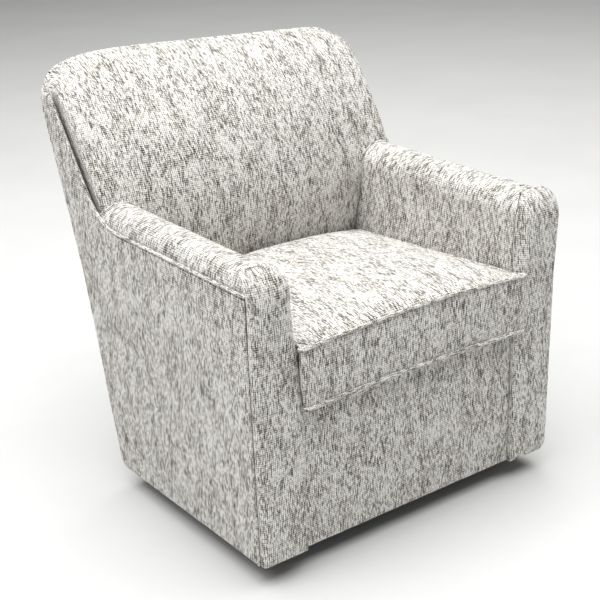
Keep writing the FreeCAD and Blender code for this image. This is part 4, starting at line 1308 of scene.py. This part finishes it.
    def build(self, material: bpy.types.Material, stuffing: Stuffing) -> None:
        """Weld the panels and the boxing, fill the cushion, and lay a welt along each seam."""
        patches = [self.panel(True), self.panel(False), self.boxing()]
        piece = mesh_object("seat_cushion", patches, (303.0, -48.0))
        spots = places(piece)
        held = np.zeros(len(spots))
        for level in (0.0, 1.0):
            path = self.seam(level)
            near = np.linalg.norm(spots[:, None] - path[None, ::3], axis=-1).min(axis=1)
            held = np.maximum(held, 1 - smooth(2, 8, near))
        held = np.maximum(held, smooth(10, 2, spots[:, 2] - self.plane_z(spots[:, 1])))
        stuffing.fill(piece, held)
        spots = places(piece)
        spots[:, 1] -= self.zip_recess(spots)
        move_to(piece, spots)
        subdivided(piece)
        dress(piece, material, "cushion", Slot.FABRIC, "cushion_cover", "cushion_core")
        up = np.array([0.0, 0.0, 1.0])
        middle = np.array([0.0, self.middle_y(), 0.0])
        cords = []
        for level, radius, seed in ((0.0, self.welt + 0.8, 31), (1.0, self.welt - 0.2, 33)):
            path = self.seam(level)
            path = path + unit((path - middle) * (1 - up)) * self.welt_out
            cords.append(tube(path, cord_radius(path, radius, seed, False), up, True))
        piece = mesh_object("cushion_welt_cords", cords, (55.0, 77.0))
        dress(piece, material, "cushion", Slot.FABRIC, "cushion_welts")


# Welts, deck and dust cover

@dataclass
class Welts:
    """Fabric-covered cords along the side panels' tops, down the front corners and round the arms' ends."""
    lines: BodyLines
    arms: Arms
    sink: float = 1.0
    lap: float = 8.0
    run_on: float = 6.0
    seam_cord: float = 2.4
    cord_rise: float = 0.5

    def side_path(self) -> np.ndarray:
        """Line along the arm and up the back on the right side, its corner rounded."""
        line = self.lines
        top_z = line.welt_top + self.run_on
        corners = [(line.front_y + self.lap, line.arm_welt_z), (line.welt_corner_y, line.arm_welt_z),
                   (line.welt_y(top_z), top_z)]
        yz = evenly(rounded_outline(corners, [0, line.welt_corner_radius, 0]), 240, False)
        return stacked(line.side_x(yz[:, 1]) - self.sink, *yz.T)

    def front_path(self) -> np.ndarray:
        """Line up the right front corner, between the facing and the side panel."""
        line = self.lines
        z = np.linspace(line.bottom, line.arm_welt_z - 5, 150)
        y = line.front_y + line.facing_depth + line.welt_radius + line.welt_play
        return stacked(line.side_x(z) - self.sink, y, z)

    def arm_end_path(self) -> np.ndarray:
        """Line over the right arm's rear end, where it is sewn to the back."""
        profile = evenly(self.arms.crown_line(), 150, False)
        along = unit(np.gradient(profile, axis=0))
        proud = profile + stacked(along[:, 1], -along[:, 0]) * self.cord_rise
        return stacked(proud[:, 0], self.arms.end_y(*profile.T) - self.sink, proud[:, 1])

    def build(self, material: bpy.types.Material) -> None:
        """Make the cords of both sides and dress them as groups."""
        side_way = np.array([1.0, 0.0, 0.0])
        end_way = np.array([0.0, 1.0, self.lines.seam_rake])
        groups = {"side_welt_cords": (self.side_path(), self.lines.welt_radius, side_way, ("side_welts",)),
                  "front_welt_cords": (self.front_path(), self.lines.welt_radius, side_way, ("front_welts",)),
                  "arm_end_cords": (self.arm_end_path(), self.seam_cord, end_way, ())}
        for seed, (name, (path, radius, way, nodes)) in enumerate(groups.items()):
            cords = []
            for side in Side:
                line = path * np.array([side.value, 1.0, 1.0])
                cords.append(tube(line, cord_radius(line, radius, 40 + 4 * seed + side.value, True), way))
            piece = mesh_object(name, cords, (17.0 * seed, 29.0))
            dress(piece, material, "seat_unit", Slot.FABRIC, *nodes)


@dataclass
class Undercloths:
    """Deck cloth under the cushion and the thin dust cover under the frame."""
    lines: BodyLines
    deck_front: float = -284.0
    deck_rear: float = 238.0
    hollow: float = 2.5
    dust_half_x: float = 362.0
    dust_front: float = -283.0
    dust_rear: float = 217.0
    dust_gap: float = 180.0
    dust_z: float = 46.0
    sag: float = 0.7

    def deck_place(self, x: np.ndarray, y: np.ndarray, depth: np.ndarray) -> np.ndarray:
        """Map (x, y, depth) onto the sloping deck."""
        return stacked(x, y, self.lines.deck(y) + depth)

    def deck_relief(self, x: np.ndarray, y: np.ndarray, inside: np.ndarray) -> np.ndarray:
        """Slight hollow in the middle and soft creases."""
        return -self.hollow * smooth(0, 200, inside) + 0.5 * ripples(x, y, size=90.0, seed=50) - 0.5

    def build(self) -> None:
        """Make and dress the deck cloth and the dust cover."""
        outline = rectangle(self.lines.arm_inner_x - 0.5, self.deck_front, self.deck_rear, 3)
        pad = FlatPad(outline, self.deck_place, columns=60, rows=60, relief=self.deck_relief)
        deck = mesh_object("deck_pad", pad.patches())
        dress(deck, DECK_CLOTH.material(), "seat_unit", Slot.DECK, "seat_deck")

        # Dust cover: full-width strips before and behind its opening, and one strip on each side
        beside = np.linspace(self.dust_gap, self.dust_half_x, 12)
        inside = np.linspace(-self.dust_gap, self.dust_gap, 16)
        wide = np.concatenate([-beside[::-1], inside[1:-1], beside])
        patches = []
        for x_spots, y_spots in ((wide, np.linspace(self.dust_front, -self.dust_gap, 8)),
                                 (wide, np.linspace(self.dust_gap, self.dust_rear, 8)),
                                 (-beside, inside), (beside, inside)):
            x, y = np.meshgrid(x_spots, y_spots, indexing="ij")
            z = self.dust_z - self.sag * (0.5 + 0.5 * ripples(x, y, size=60.0, seed=53))
            patches.append(Patch(stacked(x, y, z), stacked(x, y)))
        dust = mesh_object("dust_cover_cloth", patches)
        dress(dust, DUST_CLOTH.material(), "seat_unit", Slot.DUST, "dust_cover")


def dress_nodes() -> None:
    """Give every CAD node that still shows the finish of its slot."""
    slots = {part["node"]: part["material_slot"] for part in frame["record"]["subparts"]}
    materials = {slot: finish.material() for slot, finish in NODE_FINISHES.items()}
    for name, node in frame["nodes"].items():
        if slots[name] in materials:
            node.data.materials.clear()
            node.data.materials.append(materials[slots[name]])
            LOG.info("%s: %s", name, materials[slots[name]].name)


# Studio

def standing(right: Sequence, up: Sequence, back: Sequence, at: Sequence) -> Matrix:
    """Placement from three axes and a place, each a column."""
    return Matrix(np.vstack([np.column_stack([right, up, back, at]), (0, 0, 0, 1)]).tolist())


@dataclass(frozen=True)
class Lamp:
    """A soft box: where it stands, what it faces, its width and its power."""
    name: str
    at: tuple
    towards: tuple
    size: float
    power: float

    def build(self) -> None:
        """Make the lamp and turn it to face its point."""
        data = bpy.data.lights.new(self.name, "AREA")
        data.energy = self.power
        data.size = self.size
        lamp = bpy.data.objects.new(self.name, data)
        back = unit(np.subtract(self.at, self.towards))
        right = unit(np.cross((0.0, 0.0, 1.0), back))
        lamp.matrix_world = standing(right, np.cross(back, right), back, self.at)
        bpy.context.scene.collection.objects.link(lamp)


@dataclass
class Studio:
    """Camera at the photograph's angle, pale floor, white surroundings and soft light."""
    camera_at: tuple = (-1581.72, -2086.56, 1465.30)
    right: tuple = (0.79913, -0.60043, -0.02962)
    up: tuple = (0.24788, 0.28423, 0.92616)
    back: tuple = (-0.54767, -0.74746, 0.37598)
    lens: float = 80.64
    sensor: float = 36.0
    floor_half: float = 14.0
    surroundings: float = 0.16
    lamps: tuple = (
        Lamp("key_box", (-2.6, 0.1, 3.0), (0.0, 0.0, 0.5), 1.6, 40.0),
        Lamp("sky_box", (0.0, -0.1, 5.0), (0.0, 0.0, 0.0), 7.0, 530.0),
        Lamp("fill_box", (0.6, -3.6, 1.9), (0.0, 0.2, 0.6), 2.0, 6.0),
    )

    def build(self) -> None:
        """Set up the camera, the floor, the surroundings and the lamps."""
        scene = bpy.context.scene
        data = bpy.data.cameras.new("camera")
        data.sensor_width = self.sensor
        data.lens = self.lens
        camera = bpy.data.objects.new("camera", data)
        camera.matrix_world = standing(self.right, self.up, self.back, np.multiply(self.camera_at, MM))
        scene.collection.objects.link(camera)
        scene.camera = camera
        scene.view_settings.view_transform = "Standard"

        reach = np.linspace(-self.floor_half, self.floor_half, 3) / MM
        x, y = np.meshgrid(reach, reach, indexing="ij")
        floor = mesh_object("floor", [Patch(stacked(x, y, 0 * x), stacked(x, y))])
        floor.data.materials.append(FLOOR_PAINT.material())

        world = bpy.data.worlds.new("studio")
        world.use_nodes = True
        world.node_tree.nodes.clear()
        sky = add_node(world.node_tree, "ShaderNodeBackground", {
            "Color": linear("#FFFFFF"), "Strength": self.surroundings})
        add_node(world.node_tree, "ShaderNodeOutputWorld", {"Surface": sky.outputs[0]})
        scene.world = world
        for lamp in self.lamps:
            lamp.build()


def main() -> None:
    """Build the studio and the chair's pieces in order."""
    logging.basicConfig(level=logging.INFO, format="%(message)s")
    Studio().build()
    lines = BodyLines()
    cloth = SlubCloth().material()
    back = InsideBack(lines)
    arms = Arms(lines, back)
    SidePanels(lines).build(cloth)
    Facings(lines).build(cloth)
    FrontPanel(lines).build(cloth)
    OutsideBack(lines).build(cloth)
    arms.build(cloth, Stuffing(pressure=3.0, cap_mm=4.0))
    back.build(cloth, Stuffing(pressure=4.0, cap_mm=10.0))
    Cushion(lines).build(cloth, Stuffing(pressure=4.0, cap_mm=12.0))
    Welts(lines, arms).build(cloth)
    Undercloths(lines).build()
    dress_nodes()


if __name__ == "__main__":
    main()
